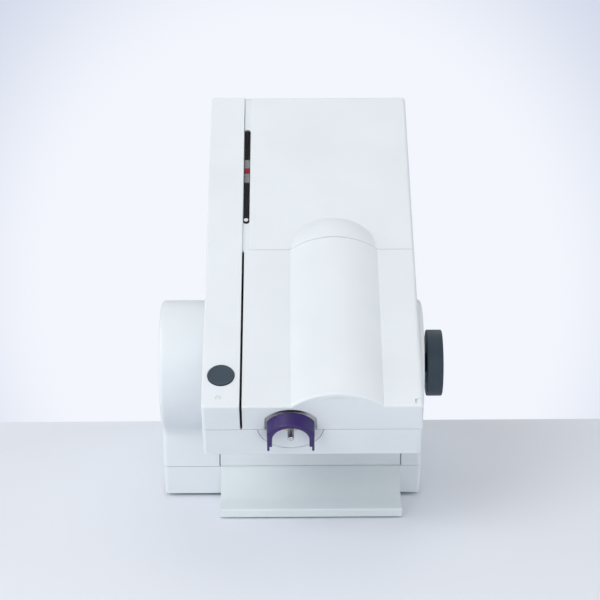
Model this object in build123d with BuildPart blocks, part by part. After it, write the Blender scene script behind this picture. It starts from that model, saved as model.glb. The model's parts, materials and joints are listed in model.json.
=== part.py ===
from build123d import *
from math import acos, atan2, ceil, cos, degrees, pi, radians, sin, sqrt, tan
import os

# Bench-top mixer for dental impression material. A long box head slopes down to the front over a base
# with a rounded cheek on each side. Two plungers in the head press a foil-bag cartridge forward, and a
# drive shaft between them turns the mixing tip that is locked in front. All sizes are in millimetres.
#
# +X is the user's right, +Y the back and +Z up. The origin lies under the middle of the mixer, on the
# table. Places in the head are given as (x, s, n): x from its left side, s up its slope from the front
# face and n square to its top, which is n = 0.

# Head
tilt = 30.0
head_width = 166.0
head_length = 343.0
head_depth = 57.8
head_inset = 40.0
head_overhang = 153.6
head_rise = 111.0
seam_drop = 27.3
wall = 3.0
panel_gap = 0.6
seam_tongue = 1.2
corner_radius = 3.0
edge_radius = 1.5

# Base
right_overhang = 9.0
base_depth = 172.0
base_height = 25.0
base_draft = 2.7
foot_lift = 2.5
left_cheek_width = 47.0
right_cheek_width = 16.7
cheek_radius = 53.0
cheek_blend = 14.0
cheek_edge = 4.0
cheek_fall = 20.0
cheek_back_radius = 20.0
seam_bevel = 0.5
column_setback = 1.0
pan_corner = 4.0

# Foot plate in front of the base
plate_reach = 46.0
plate_inset = 0.8
plate_lip = 7.5
plate_lift = 1.0
plate_flat = 16.0

# Feet
foot_radius = 8.0
foot_inset = 20.0
front_foot_radius = 5.0
front_foot_reach = 36.0
front_foot_spacing = 110.0

# Control strip, slot and level window along the left of the head
strip_width = 28.5
strip_web = 2.5
slot_width = 1.8
button_x = 14.3
button_s = 31.0
button_radius = 10.0
button_gap = 0.35
button_proud = 0.9
button_travel = 1.5
button_lap = 0.7
button_flange = 1.4
button_edge = 0.4
button_stem_radius = 3.0
button_stem_drop = 6.5
light_x = 12.7
light_s = 9.6
light_radius = 2.0
light_length = 4.0
light_edge = 0.6
groove_right = 34.0
groove_depth = 2.0
groove_floor = 2.0
window_x = 31.3
window_front = 193.0
window_length = 111.0
window_width = 5.4
window_thickness = 1.2
channel_width = 8.0
channel_inner = 5.2
channel_depth = 4.5
channel_slot = 2.8
channel_floor = 1.0
channel_margin = 6.0

# Cover flap, bulge and dome
split_s = 161.7
bulge_x = 101.7
bulge_half_width = 34.75
bulge_height = 14.5
barrel_radius = 3.0
hinge_pin_radius = 1.2
hinge_ear = 4.0
hinge_boss = 8.0
flap_rib = 2.0
flap_rib_drop = 8.0
scoop_half_width = 14.8
scoop_top = 10.6
scoop_low = 6.0
scoop_sink = 1.6

# Outlet seat, drive shaft and locking lever
seat_x = 66.7
seat_n = -24.8
seat_radius = 25.0
seat_thickness = 5.0
seat_top_n = -6.0
seat_flange = 2.0
seat_set_back = 0.4
shaft_radius = 2.45
journal_radius = 3.0
shaft_reach = 11.5
shaft_bevel = 0.8
shaft_back = 194.0
bush_wall = 1.95
cutout_radius = 19.7
cutout_top = 3.0
lever_outer = 17.1
lever_inner = 13.2
lever_reach = 12.1
lever_stand_off = 0.9
lever_leg_drop = 8.3
lever_tab_drop = 13.2
lever_tab = 1.9
lever_edge = 1.2
lever_pivot_s = -3.4
lever_knuckle = 1.95
lever_tongue_half = 3.8
lever_pin_radius = 1.0
lever_pin_half = 5.8

# Fits
running_fit = 0.05
moving_gap = 0.3

# Cartridge bay and plungers
tube_depth = 18.0
large_tube = 29.5
small_tube = 13.4
small_tube_x = 50.0
cradle_front = 10.0
cradle_back = 152.0
cradle_top = 30.0
cradle_left = 34.0
cradle_right = 131.0
large_plunger = 28.0
small_plunger = 12.5
plunger_thickness = 8.0
plunger_rim = 1.0
stroke_forward = 61.9
stroke_back = 42.4
retracted_s = 155.0
bulkhead_s = 165.0
bulkhead_thickness = 3.0
boss_notch = 3.0

# Racks and gears
gear_module = 1.5
pressure_angle = 20.0
pinion_teeth = 16
train_teeth = 20
motor_teeth = 18
backlash = 0.3
tooth_top = 0.9
tooth_foot = 1.2
rack_width = 10.0
rack_top = 12.0
rack_pitch_drop = 10.3
rack_length = 169.4
spare_teeth_ahead = 1
spare_teeth_behind = 4
pinion_s = 183.0
pinion_face = 8.0
gear_face = 8.0
gear_clear = 1.5
gear_hub = 3.0
idler_pin_end = 1.2
gear_shaft_radius = 4.0
gear_bush_wall = 1.5
gear_plate_inset = 34.5
gear_plate_thickness = 3.0
gear_plate_half = 15.5
gear_plate_rim = 4.0
gear_plate_margin = 14.0
bearing_plate_x = 36.0
bearing_plate_half = 12.0
yoke_length = 14.0
yoke_thickness = 3.5

# Level pointer
pointer_length = 26.5
pointer_width = 4.4
pointer_thickness = 1.1
pointer_centre = 256.25
mark_length = 6.7
mark_thickness = 0.5
pointer_arm = 10.0
pointer_arm_thickness = 2.5
pointer_stem = 2.0

# Mixing drive
coupling_front = 189.0
coupling_length = 10.0
coupling_radius = 5.0
gearbox_front = 203.0
gearbox_length = 22.0
gearbox_width = 36.5
gearbox_height = 32.0
gearbox_x = 75.75
gearbox_n = -29.0
gearbox_bore = 10.0
output_radius = 3.0
mixer_motor_radius = 16.0
mixer_motor_length = 60.0
bracket_thickness = 3.0
bracket_foot = 27.0

# Feed drive
feed_motor_radius = 18.0
feed_motor_length = 50.0
feed_motor_bore = 10.0
motor_shaft_radius = 2.5
motor_boss = 6.0

# Handwheel
wheel_radius = 27.5
wheel_thickness = 13.0
wheel_stand_off = 4.0
wheel_collar = 8.0
wheel_edge = 1.2
wheel_shaft_radius = 5.0

# Electrical pieces
transformer_x = -45.0
transformer_y = 95.0
transformer_width = 70.0
transformer_depth = 44.0
transformer_height = 56.0
winding_margin = 11.0
winding_proud = 9.0
board_depth = 18.0
board_thickness = 1.6
board_front = 14.0
board_length = 96.0
switch_size = 10.0
inlet_x = -40.0
inlet_z = 70.0
inlet_width = 27.4
inlet_height = 19.8
inlet_flange_width = 40.0
inlet_flange_height = 26.0
inlet_flange = 2.0
inlet_depth = 22.0
socket_width = 24.6
socket_height = 17.0
socket_depth = 16.0
socket_bevel = 3.0
inlet_corner = 3.0
blade_width = 4.0
blade_thickness = 2.0
blade_pitch = 7.0
blade_drop = 2.0
blade_length = 14.0
rocker_x = 10.0
rocker_half_width = 6.5
rocker_half_height = 9.5
rocker_swing = 7.0
rocker_depth = 6.0
rocker_pivot_depth = 3.0
rocker_frame = 2.5
rocker_frame_proud = 1.6
rocker_rim = 1.0
rocker_frame_depth = 14.0
rocker_dish = 1.5

# Vents in the rear panel
vent_columns = 3
vent_rows = 9
vent_length = 34.0
vent_height = 2.6
vent_pitch_x = 42.0
vent_pitch_z = 7.0
vent_z = 170.0

# Fasteners
screw_radius = 2.0
screw_head_radius = 3.6
screw_head = 2.0
screw_length = 9.0
tray_screw_inset = 7.6
tray_screw_front = 12.0
tray_screw_back = 20.0
base_screw_inset = 34.0
panel_screw_inset = 5.0
panel_screw_low = 14.0
panel_ledge = 8.0
ledge_drop = 6.0
column_post = 10.0
post_rise = 20.0

os.makedirs("parts", exist_ok=True)

# Places worked out from the sizes above
slope_sin = sin(radians(tilt))
slope_cos = cos(radians(tilt))
slope_tan = tan(radians(tilt))
up_slope = (0, slope_cos, slope_sin)
off_slope = (0, -slope_sin, slope_cos)

base_width = head_inset + head_width + right_overhang
wheel_reach = wheel_stand_off + wheel_thickness
base_left = -(base_width + wheel_reach) / 2
base_right = base_left + base_width
lever_nose = lever_reach * slope_cos + (seat_n + lever_outer) * slope_sin
base_front = (head_overhang + lever_nose - base_depth - inlet_flange) / 2
base_back = base_front + base_depth
base_seam = foot_lift + base_height
head_left = base_left + head_inset
head_front = base_front - head_overhang
head_top = base_seam + head_rise
column_left = base_left + left_cheek_width + panel_gap
column_right = base_right - right_cheek_width - panel_gap
column_front = base_front + column_setback
pan_floor = foot_lift + wall
pan_draft_inset = base_height * tan(radians(base_draft))

tray_top = -seam_drop - panel_gap / 2
upper_foot = -seam_drop + panel_gap / 2
tray_floor = wall - head_depth
web_left = strip_width - strip_web
flap_left = strip_width + slot_width
flap_back = split_s - panel_gap / 2
rear_front = split_s + panel_gap / 2
bulge_radius = (bulge_half_width**2 + bulge_height**2) / (2 * bulge_height)
bulge_n = bulge_height - bulge_radius
barrel_x = head_width - barrel_radius
barrel_n = -barrel_radius

tooth_pitch = pi * gear_module
pinion_pitch = gear_module * pinion_teeth / 2
train_pitch = gear_module * train_teeth / 2
motor_pitch = gear_module * motor_teeth / 2
rack_pitch_n = -rack_top - rack_pitch_drop
pinion_n = rack_pitch_n - pinion_pitch
pinion_y = head_front + pinion_s * slope_cos - pinion_n * slope_sin
pinion_z = head_top + pinion_s * slope_sin + pinion_n * slope_cos
hub_y = pinion_y
upper_idler_z = pinion_z - 2 * train_pitch
lower_idler_z = upper_idler_z - 2 * train_pitch
hub_z = lower_idler_z - 2 * train_pitch
motor_y = hub_y + train_pitch + motor_pitch
gear_plate_x = head_width - gear_plate_inset
gear_x = gear_plate_x + gear_plate_thickness + gear_clear
gear_end = gear_x + gear_face
upward = 90.0
half_tooth = 180 / train_teeth
rack_teeth_ahead = ceil(stroke_back / tooth_pitch) + spare_teeth_ahead
rack_teeth = rack_teeth_ahead + ceil(stroke_forward / tooth_pitch) + spare_teeth_behind
rest_front = retracted_s - stroke_back
rack_front = rest_front + plunger_thickness
rack_back = rack_front + rack_length
rack_tip_n = rack_pitch_n - tooth_top * gear_module

flap_wall_top = barrel_n - barrel_radius - moving_gap
ear_front = wall + moving_gap
ear_slot = hinge_ear + 2 * moving_gap
seat_back_face = wall + moving_gap
seat_plate_radius = seat_radius - moving_gap
bush_radius = journal_radius + bush_wall
bush_length = seat_back_face + seat_thickness - seat_set_back
lever_pivot_n = seat_n + (lever_outer + lever_inner) / 2
pointer_top = -groove_depth - groove_floor - moving_gap
rocker_opening = sqrt(rocker_half_height**2 + (rocker_pivot_depth + rocker_dish) ** 2) + moving_gap
rocker_frame_width = rocker_half_width + moving_gap + rocker_frame
rocker_frame_height = rocker_opening + rocker_frame


def tilted(x, s, n):
    """The point at (x, s, n) in the head."""
    return (
        head_left + x,
        head_front + s * slope_cos - n * slope_sin,
        head_top + s * slope_sin + n * slope_cos,
    )


def level(n):
    """The plane parallel to the head's top at n, drawn on as (x, s)."""
    return Plane(origin=tilted(0, 0, n), x_dir=(1, 0, 0), z_dir=off_slope)


def across(s):
    """The plane square to the slope at s, drawn on as (x, n). It faces down the slope."""
    return Plane(origin=tilted(0, s, 0), x_dir=(1, 0, 0), z_dir=(0, -slope_cos, -slope_sin))


def beside(x):
    """The plane along the slope at x, drawn on as (s, n). It faces right."""
    return Plane(origin=tilted(x, 0, 0), x_dir=up_slope, z_dir=(1, 0, 0))


def upright(x):
    """The upright plane at x of the head, drawn on as (y, z). It faces right."""
    return Plane.YZ.offset(head_left + x)


def bar(left, right, low, high, mode=Mode.ADD):
    """A rectangle between four limits, in the sketch that is open."""
    with Locations(((left + right) / 2, (low + high) / 2)):
        Rectangle(right - left, high - low, mode=mode)


def disc(x, y, radius, mode=Mode.ADD):
    """A circle at a point, in the sketch that is open."""
    with Locations((x, y)):
        Circle(radius, mode=mode)


def block(plane, left, right, low, high, height, mode=Mode.ADD):
    """A box raised from a plane, in the part that is open."""
    with BuildSketch(plane) as face:
        bar(left, right, low, high)
    extrude(face.sketch, amount=height, mode=mode)


def rod(plane, x, y, radius, height, mode=Mode.ADD):
    """A round bar raised from a plane, in the part that is open."""
    with BuildSketch(plane) as face:
        disc(x, y, radius)
    extrude(face.sketch, amount=height, mode=mode)


def edges_along(part, direction):
    """The part's straight edges along a direction."""
    return part.edges().filter_by(Axis((0, 0, 0), direction))


def under_head(y, n=-head_depth):
    """Height at y of the plane parallel to the head's top at n."""
    return head_top + (y - head_front) * slope_tan + n / slope_cos


def span(middle, size):
    """The two limits of a size set about its middle."""
    return (middle - size / 2, middle + size / 2)


def inside(low, high, margin):
    """Two limits brought in by a margin at each end."""
    return (low + margin, high - margin)


def slope_at(y, n):
    """Distance up the slope of the point at y in the plane at n."""
    return (y - head_front + n * slope_sin) / slope_cos


def polar(radius, angle):
    """A point by radius and angle in degrees."""
    return (radius * cos(radians(angle)), radius * sin(radians(angle)))


def involute(angle):
    """The involute function, in degrees."""
    return degrees(tan(radians(angle))) - angle


def gear_face_outline(teeth, first_tooth):
    """A spur gear's outline round the origin, with one tooth's middle at the angle first_tooth."""
    pitch = gear_module * teeth / 2
    base = pitch * cos(radians(pressure_angle))
    tip = pitch + tooth_top * gear_module
    root = pitch - tooth_foot * gear_module
    low = max(base, root)
    half = 90 / teeth - degrees(backlash / 4 / pitch) + involute(pressure_angle)

    def flank(radius):
        return half - involute(degrees(acos(base / radius)))

    middle = (low + tip) / 2
    with BuildLine() as outline:
        for tooth in range(teeth):
            at = first_tooth + 360 * tooth / teeth
            following = at + 360 / teeth
            if root < low:
                Line(polar(root, at - flank(low)), polar(low, at - flank(low)))
            ThreePointArc(
                polar(low, at - flank(low)),
                polar(middle, at - flank(middle)),
                polar(tip, at - flank(tip)),
            )
            ThreePointArc(polar(tip, at - flank(tip)), polar(tip, at), polar(tip, at + flank(tip)))
            ThreePointArc(
                polar(tip, at + flank(tip)),
                polar(middle, at + flank(middle)),
                polar(low, at + flank(low)),
            )
            if root < low:
                Line(polar(low, at + flank(low)), polar(root, at + flank(low)))
            ThreePointArc(
                polar(root, at + flank(low)),
                polar(root, (at + following) / 2),
                polar(root, following - flank(low)),
            )
    make_face(outline.edges())


def gear(x, y, z, teeth, first_tooth, face, bore):
    """A spur gear with its left face at x of the head and its axis at y, z, in the part that is open."""
    with BuildSketch(Plane(origin=(head_left + x, y, z), x_dir=(0, 1, 0), z_dir=(1, 0, 0))) as side:
        gear_face_outline(teeth, first_tooth)
        Circle(bore, mode=Mode.SUBTRACT)
    extrude(side.sketch, amount=face)


def cheek_outline():
    """Side of a cheek as (y, z): a shoulder round the handwheel's axis on an upright front."""
    blend_reach = cheek_radius + cheek_blend
    blend_y = base_front - cheek_blend
    blend_z = hub_z - sqrt(blend_reach**2 - (hub_y - blend_y) ** 2)
    toward = degrees(atan2(blend_z - hub_z, blend_y - hub_y))
    front_y, front_z = polar(cheek_radius, toward)
    top_y, top_z = polar(cheek_radius, 90 - cheek_fall)
    nose_y, nose_z = polar(cheek_radius, (toward + 360 + 90 - cheek_fall) / 2)
    bend_y, bend_z = polar(cheek_blend, (toward + 180) / 2)
    back_z = hub_z + top_z - (base_back - hub_y - top_y) * tan(radians(cheek_fall))
    with BuildLine() as outline:
        Line((base_front, base_seam), (base_front, blend_z))
        ThreePointArc(
            (base_front, blend_z),
            (blend_y + bend_y, blend_z + bend_z),
            (hub_y + front_y, hub_z + front_z),
        )
        ThreePointArc(
            (hub_y + front_y, hub_z + front_z),
            (hub_y + nose_y, hub_z + nose_z),
            (hub_y + top_y, hub_z + top_z),
        )
        Polyline(
            (hub_y + top_y, hub_z + top_z),
            (base_back, back_z),
            (base_back, base_seam),
            (base_front, base_seam),
        )
    make_face(outline.edges())


opening_left = gear_plate_x - gear_clear
opening_right = gear_end + gear_clear
gear_reach = train_pitch + gear_module
opening_front = slope_at(hub_y - gear_reach, -head_depth - wall) - moving_gap
opening_back = slope_at(hub_y + gear_reach, tray_floor) + moving_gap
tray_screw_places = [
    (x, s)
    for x in (column_left - head_left + tray_screw_inset, column_right - head_left - tray_screw_inset)
    for s in (
        slope_at(column_front + wall, -head_depth) + tray_screw_front,
        slope_at(base_back, -head_depth) - tray_screw_back,
    )
]
panel_left = column_left + wall
panel_right = column_right - wall
panel_top = under_head(base_back - wall) - wall / slope_cos
ledge_front = base_back - wall - panel_ledge
ledge_top = under_head(ledge_front) - ledge_drop
base_screw_places = [
    (x, y)
    for x in (panel_left + column_post / 2, panel_right - column_post / 2)
    for y in (base_front + base_screw_inset, base_back - base_screw_inset)
]
panel_screw_places = [
    (x, z)
    for x in (panel_left + panel_screw_inset, panel_right - panel_screw_inset)
    for z in (base_seam + panel_screw_low, ledge_top - panel_screw_inset)
]


def save(piece, label):
    """Name a finished piece and write it."""
    piece.part.label = label
    export_step(piece.part, f"parts/{label}.step")


# ---------------------------------------------------------------- base

with BuildPart() as base_pan:
    with BuildSketch(Plane.XY.offset(base_seam)):
        with Locations(((base_left + base_right) / 2, (base_front + base_back) / 2)):
            RectangleRounded(base_width, base_depth, pan_corner)
    extrude(amount=-base_height, taper=base_draft)
    chamfer(base_pan.faces().sort_by(Axis.Z)[0].edges(), length=seam_bevel)
    chamfer(base_pan.faces().sort_by(Axis.Z)[-1].edges(), length=seam_bevel)
    block(
        Plane.XY.offset(pan_floor),
        *inside(base_left, base_right, wall + pan_draft_inset),
        *inside(base_front, base_back, wall + pan_draft_inset),
        base_seam - pan_floor,
        mode=Mode.SUBTRACT,
    )
    with BuildSketch(Plane.XY.offset(foot_lift)):
        with Locations(*base_screw_places):
            Circle(screw_radius)
    extrude(amount=wall, mode=Mode.SUBTRACT)
save(base_pan, "base_pan")

with BuildPart() as front_foot_plate:
    plate_left = column_left + plate_inset
    lip_top = plate_lift + plate_lip
    with BuildSketch(Plane.YZ.offset(plate_left)):
        with BuildLine():
            Polyline(
                (base_front, base_seam - panel_gap),
                (base_front, plate_lift),
                (base_front - plate_reach, plate_lift),
                (base_front - plate_reach, lip_top),
                (base_front - plate_reach + plate_flat, lip_top),
            )
            TangentArc(
                (base_front - plate_reach + plate_flat, lip_top),
                (base_front, base_seam - panel_gap),
                tangent=(1, 0),
            )
        make_face()
    extrude(amount=column_right - plate_inset - plate_left)
    fillet(edges_along(front_foot_plate, (1, 0, 0)).group_by(Axis.Y)[0], radius=edge_radius)
save(front_foot_plate, "front_foot_plate")

with BuildPart() as rubber_feet:
    with BuildSketch(Plane.XY):
        with Locations(((base_left + base_right) / 2, (base_front + base_back) / 2)):
            with GridLocations(base_width - 2 * foot_inset, base_depth - 2 * foot_inset, 2, 2):
                Circle(foot_radius)
    extrude(amount=foot_lift)
    with BuildSketch(Plane.XY):
        with Locations(((column_left + column_right) / 2, base_front - front_foot_reach)):
            with GridLocations(front_foot_spacing, 1, 2, 1):
                Circle(front_foot_radius)
    extrude(amount=plate_lift)
save(rubber_feet, "rubber_feet")

with BuildPart() as left_cheek:
    with BuildSketch(Plane.YZ.offset(base_left)):
        cheek_outline()
    extrude(amount=left_cheek_width)
    left_cheek_back = edges_along(left_cheek, (1, 0, 0)).group_by(Axis.Y)[-1]
    fillet(left_cheek_back.sort_by(Axis.Z)[-1], radius=cheek_back_radius)
    fillet(left_cheek.faces().sort_by(Axis.X)[0].edges().sort_by(Axis.Z)[1:], radius=cheek_edge)
    offset(amount=-wall, openings=left_cheek.faces().sort_by(Axis.X)[-1])
save(left_cheek, "left_cheek")

with BuildPart() as right_cheek:
    with BuildSketch(Plane.YZ.offset(base_right - right_cheek_width)):
        cheek_outline()
    extrude(amount=right_cheek_width)
    right_cheek_back = edges_along(right_cheek, (1, 0, 0)).group_by(Axis.Y)[-1]
    fillet(right_cheek_back.sort_by(Axis.Z)[-1], radius=cheek_back_radius)
    fillet(right_cheek.faces().sort_by(Axis.X)[-1].edges().sort_by(Axis.Z)[1:], radius=cheek_edge)
    offset(amount=-wall, openings=right_cheek.faces().sort_by(Axis.X)[0])
    rod(
        Plane.YZ.offset(base_right - wall),
        hub_y,
        hub_z,
        wheel_shaft_radius + gear_bush_wall,
        wall,
        mode=Mode.SUBTRACT,
    )
save(right_cheek, "right_cheek")

with BuildPart() as centre_column:
    with BuildSketch(Plane.YZ.offset(column_left)):
        with BuildLine():
            Polyline(
                (column_front, base_seam),
                (column_front, under_head(column_front)),
                (base_back, under_head(base_back)),
                (base_back, base_seam),
                close=True,
            )
        make_face()
    extrude(amount=column_right - column_left)
    with BuildSketch(Plane.YZ.offset(column_left + wall)):
        with BuildLine():
            Polyline(
                (column_front + wall, base_seam),
                (column_front + wall, under_head(column_front + wall) - wall / slope_cos),
                (base_back, under_head(base_back) - wall / slope_cos),
                (base_back, base_seam),
                close=True,
            )
        make_face()
    extrude(amount=column_right - column_left - 2 * wall, mode=Mode.SUBTRACT)
    for ledge_left in (panel_left, panel_right - panel_ledge):
        block(
            Plane.XY.offset(base_seam),
            ledge_left,
            ledge_left + panel_ledge,
            ledge_front,
            base_back - wall,
            ledge_top - base_seam,
        )
    with BuildSketch(Plane.XZ.offset(-base_back)):
        with Locations(*panel_screw_places):
            Circle(screw_radius)
    extrude(amount=wall + panel_ledge, mode=Mode.SUBTRACT)
    for post_x, post_y in base_screw_places:
        block(
            Plane.XY.offset(pan_floor),
            *span(post_x, column_post),
            *span(post_y, column_post),
            base_seam + post_rise - pan_floor,
        )
    with BuildSketch(Plane.XY.offset(foot_lift)):
        with Locations(*base_screw_places):
            Circle(screw_radius)
    extrude(amount=screw_length, mode=Mode.SUBTRACT)
    with BuildSketch(level(-head_depth)):
        bar(opening_left, opening_right, opening_front, opening_back)
        with Locations(*tray_screw_places):
            Circle(screw_radius)
    extrude(amount=-wall, mode=Mode.SUBTRACT)
    rod(
        Plane.YZ.offset(column_right - wall),
        hub_y,
        hub_z,
        wheel_shaft_radius + moving_gap,
        wall,
        mode=Mode.SUBTRACT,
    )
save(centre_column, "centre_column")

with BuildPart() as rear_panel:
    with BuildSketch(Plane.XZ.offset(-base_back)):
        bar(panel_left, panel_right, base_seam, panel_top)
        with Locations(((panel_left + panel_right) / 2, vent_z)):
            with GridLocations(vent_pitch_x, vent_pitch_z, vent_columns, vent_rows):
                SlotOverall(vent_length, vent_height, mode=Mode.SUBTRACT)
        bar(*span(inlet_x, inlet_width), *span(inlet_z, inlet_height), mode=Mode.SUBTRACT)
        bar(
            *span(rocker_x, 2 * rocker_frame_width),
            *span(inlet_z, 2 * rocker_frame_height),
            mode=Mode.SUBTRACT,
        )
        with Locations(*panel_screw_places):
            Circle(screw_radius, mode=Mode.SUBTRACT)
    extrude(amount=wall)
save(rear_panel, "rear_panel")

# ---------------------------------------------------------------- head

with BuildPart() as head_tray:
    block(level(-head_depth), 0, head_width, 0, head_length, head_depth + tray_top)
    fillet(edges_along(head_tray, off_slope), radius=corner_radius)
    fillet(head_tray.faces().sort_by(Axis((0, 0, 0), off_slope))[0].edges(), radius=edge_radius)
    block(
        level(tray_floor),
        *inside(0, head_width, wall),
        *inside(0, head_length, wall),
        tray_top - tray_floor,
        mode=Mode.SUBTRACT,
    )
    with BuildSketch(level(tray_top)):
        bar(*inside(0, head_width, seam_tongue), *inside(0, head_length, seam_tongue))
        bar(*inside(0, head_width, wall), *inside(0, head_length, wall), mode=Mode.SUBTRACT)
        bar(strip_width, head_width, 0, rear_front, mode=Mode.SUBTRACT)
    extrude(amount=panel_gap)
    block(
        level(tray_top),
        head_width - wall,
        head_width,
        wall + panel_gap,
        rear_front - panel_gap,
        flap_wall_top - tray_top,
    )
    rod(across(ear_front), barrel_x, barrel_n, barrel_radius, -hinge_ear)
    block(across(ear_front), barrel_x, head_width, flap_wall_top, barrel_n, -hinge_ear)
    rod(across(ear_front), barrel_x, barrel_n, hinge_pin_radius, -hinge_ear, mode=Mode.SUBTRACT)
    rod(across(0), seat_x, seat_n, seat_radius, -wall, mode=Mode.SUBTRACT)
    with BuildSketch(level(-head_depth)):
        bar(opening_left, opening_right, opening_front, opening_back)
        with Locations(*tray_screw_places):
            Circle(screw_radius)
    extrude(amount=wall, mode=Mode.SUBTRACT)
save(head_tray, "head_tray")

with BuildPart() as control_strip:
    block(level(upper_foot), 0, strip_width, 0, head_length, -upper_foot)
    fillet(edges_along(control_strip, off_slope).sort_by(Axis.X)[:2], radius=corner_radius)
    fillet(edges_along(control_strip, up_slope).group_by(Axis.X)[0].sort_by(Axis.Z)[-1], radius=edge_radius)
    block(
        level(upper_foot),
        wall,
        web_left,
        wall,
        head_length - wall,
        -upper_foot - wall,
        mode=Mode.SUBTRACT,
    )
    block(
        level(upper_foot),
        web_left,
        strip_width,
        rear_front,
        head_length - wall,
        -upper_foot - wall,
        mode=Mode.SUBTRACT,
    )
    rod(level(0), button_x, button_s, button_radius + button_gap, -wall, mode=Mode.SUBTRACT)
    rod(level(0), light_x, light_s, light_radius, -wall, mode=Mode.SUBTRACT)
save(control_strip, "control_strip")

with BuildPart() as rear_cover:
    block(level(upper_foot), strip_width, head_width, rear_front, head_length, -upper_foot)
    right_corners = edges_along(rear_cover, off_slope).group_by(Axis.X)[-1]
    fillet(right_corners.sort_by(Axis.Y)[-1], radius=corner_radius)
    right_edges = edges_along(rear_cover, up_slope).group_by(Axis.X)[-1]
    fillet(right_edges.sort_by(Axis.Z)[-1], radius=barrel_radius)
    with BuildSketch(across(rear_front)):
        disc(bulge_x, bulge_n, bulge_radius)
        bar(bulge_x, bulge_x + bulge_radius, -wall, bulge_height, mode=Mode.INTERSECT)
    revolve(axis=Axis(tilted(bulge_x, rear_front, 0), off_slope))
    block(
        level(upper_foot),
        strip_width,
        head_width - wall,
        rear_front,
        head_length - wall,
        -upper_foot - wall,
        mode=Mode.SUBTRACT,
    )
    with BuildSketch(across(rear_front)):
        disc(bulge_x, bulge_n, bulge_radius - wall)
        bar(bulge_x, bulge_x + bulge_radius, -wall, bulge_height, mode=Mode.INTERSECT)
    revolve(axis=Axis(tilted(bulge_x, rear_front, 0), off_slope), mode=Mode.SUBTRACT)
    block(
        level(upper_foot),
        strip_width,
        head_width,
        0,
        rear_front,
        bulge_height - upper_foot,
        mode=Mode.SUBTRACT,
    )
    block(
        level(-groove_depth - groove_floor),
        strip_width,
        groove_right + wall,
        rear_front,
        head_length,
        groove_floor,
    )
    block(
        level(-groove_depth),
        strip_width,
        groove_right,
        rear_front,
        head_length,
        groove_depth,
        mode=Mode.SUBTRACT,
    )
    with BuildSketch(level(-groove_depth)):
        with Locations((window_x, window_front + window_length / 2)):
            SlotOverall(window_length, window_width, rotation=90)
    extrude(amount=-groove_floor, mode=Mode.SUBTRACT)
    block(
        level(-wall),
        barrel_x - barrel_radius,
        head_width - wall,
        rear_front,
        rear_front + hinge_boss,
        wall + flap_wall_top,
    )
    rod(across(rear_front), barrel_x, barrel_n, hinge_pin_radius, -hinge_boss, mode=Mode.SUBTRACT)
save(rear_cover, "rear_cover")

with BuildPart() as level_window:
    with BuildSketch(level(-groove_depth)):
        with Locations((window_x, window_front + window_length / 2)):
            SlotOverall(window_length, window_width, rotation=90)
    extrude(amount=-window_thickness)
save(level_window, "level_window")

with BuildPart() as level_channel:
    channel_length = window_length + pointer_length - mark_length + 2 * channel_margin
    with BuildSketch(level(-groove_depth - groove_floor)):
        with Locations((window_x, window_front + window_length / 2)):
            Rectangle(channel_width, channel_length)
    extrude(amount=-channel_depth)
    with BuildSketch(level(-groove_depth - groove_floor)):
        with Locations((window_x, window_front + window_length / 2)):
            Rectangle(channel_inner, channel_length)
    extrude(amount=channel_floor - channel_depth, mode=Mode.SUBTRACT)
    with BuildSketch(level(-groove_depth - groove_floor)):
        with Locations((window_x, window_front + window_length / 2)):
            Rectangle(channel_slot, channel_length - 2 * channel_floor)
    extrude(amount=-channel_depth, mode=Mode.SUBTRACT)
save(level_channel, "level_channel")

with BuildPart() as status_light:
    rod(level(0), light_x, light_s, light_radius, -light_length)
    fillet(status_light.edges().filter_by(GeomType.CIRCLE).sort_by(Axis.Z)[-1], radius=light_edge)
save(status_light, "status_light")

with BuildPart() as finger_scoop:
    with BuildSketch(beside(bulge_x - scoop_half_width)):
        with BuildLine():
            Polyline((0, scoop_low), (0, scoop_top), (scoop_sink, scoop_top), close=True)
        make_face()
    extrude(amount=2 * scoop_half_width)
    with BuildSketch(across(0)):
        with BuildLine():
            ThreePointArc(
                (bulge_x - scoop_half_width, scoop_low),
                (bulge_x, scoop_top),
                (bulge_x + scoop_half_width, scoop_low),
            )
            Line((bulge_x - scoop_half_width, scoop_low), (bulge_x + scoop_half_width, scoop_low))
        make_face()
    extrude(amount=-scoop_sink, mode=Mode.INTERSECT)

with BuildPart() as cartridge_cover:
    with BuildSketch(across(0)):
        disc(bulge_x, bulge_n, bulge_radius)
        bar(flap_left, head_width, -wall, bulge_height, mode=Mode.INTERSECT)
        bar(flap_left, barrel_x, -wall, 0)
        bar(flap_left, flap_left + flap_rib, -flap_rib_drop, 0)
        disc(barrel_x, barrel_n, barrel_radius)
        disc(bulge_x, bulge_n, bulge_radius - wall, mode=Mode.SUBTRACT)
    extrude(amount=-flap_back)
    block(
        across(ear_front - moving_gap),
        barrel_x - barrel_radius - moving_gap,
        head_width,
        flap_wall_top,
        0,
        -ear_slot,
        mode=Mode.SUBTRACT,
    )
    rod(
        across(ear_front),
        barrel_x,
        barrel_n,
        hinge_pin_radius + running_fit,
        -flap_back,
        mode=Mode.SUBTRACT,
    )
    with BuildSketch(across(0)):
        disc(bulge_x, bulge_n, bulge_radius)
        bar(flap_left, head_width, -wall, bulge_height, mode=Mode.INTERSECT)
        bar(flap_left, barrel_x, upper_foot, 0)
        bar(flap_left, head_width, upper_foot, barrel_n)
        disc(barrel_x, barrel_n, barrel_radius)
        disc(seat_x, -cutout_top - cutout_radius, cutout_radius, mode=Mode.SUBTRACT)
        bar(*span(seat_x, 2 * cutout_radius), upper_foot, -cutout_top - cutout_radius, mode=Mode.SUBTRACT)
    extrude(amount=-wall)
    add(finger_scoop.part, mode=Mode.SUBTRACT)
save(cartridge_cover, "cartridge_cover")

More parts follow.
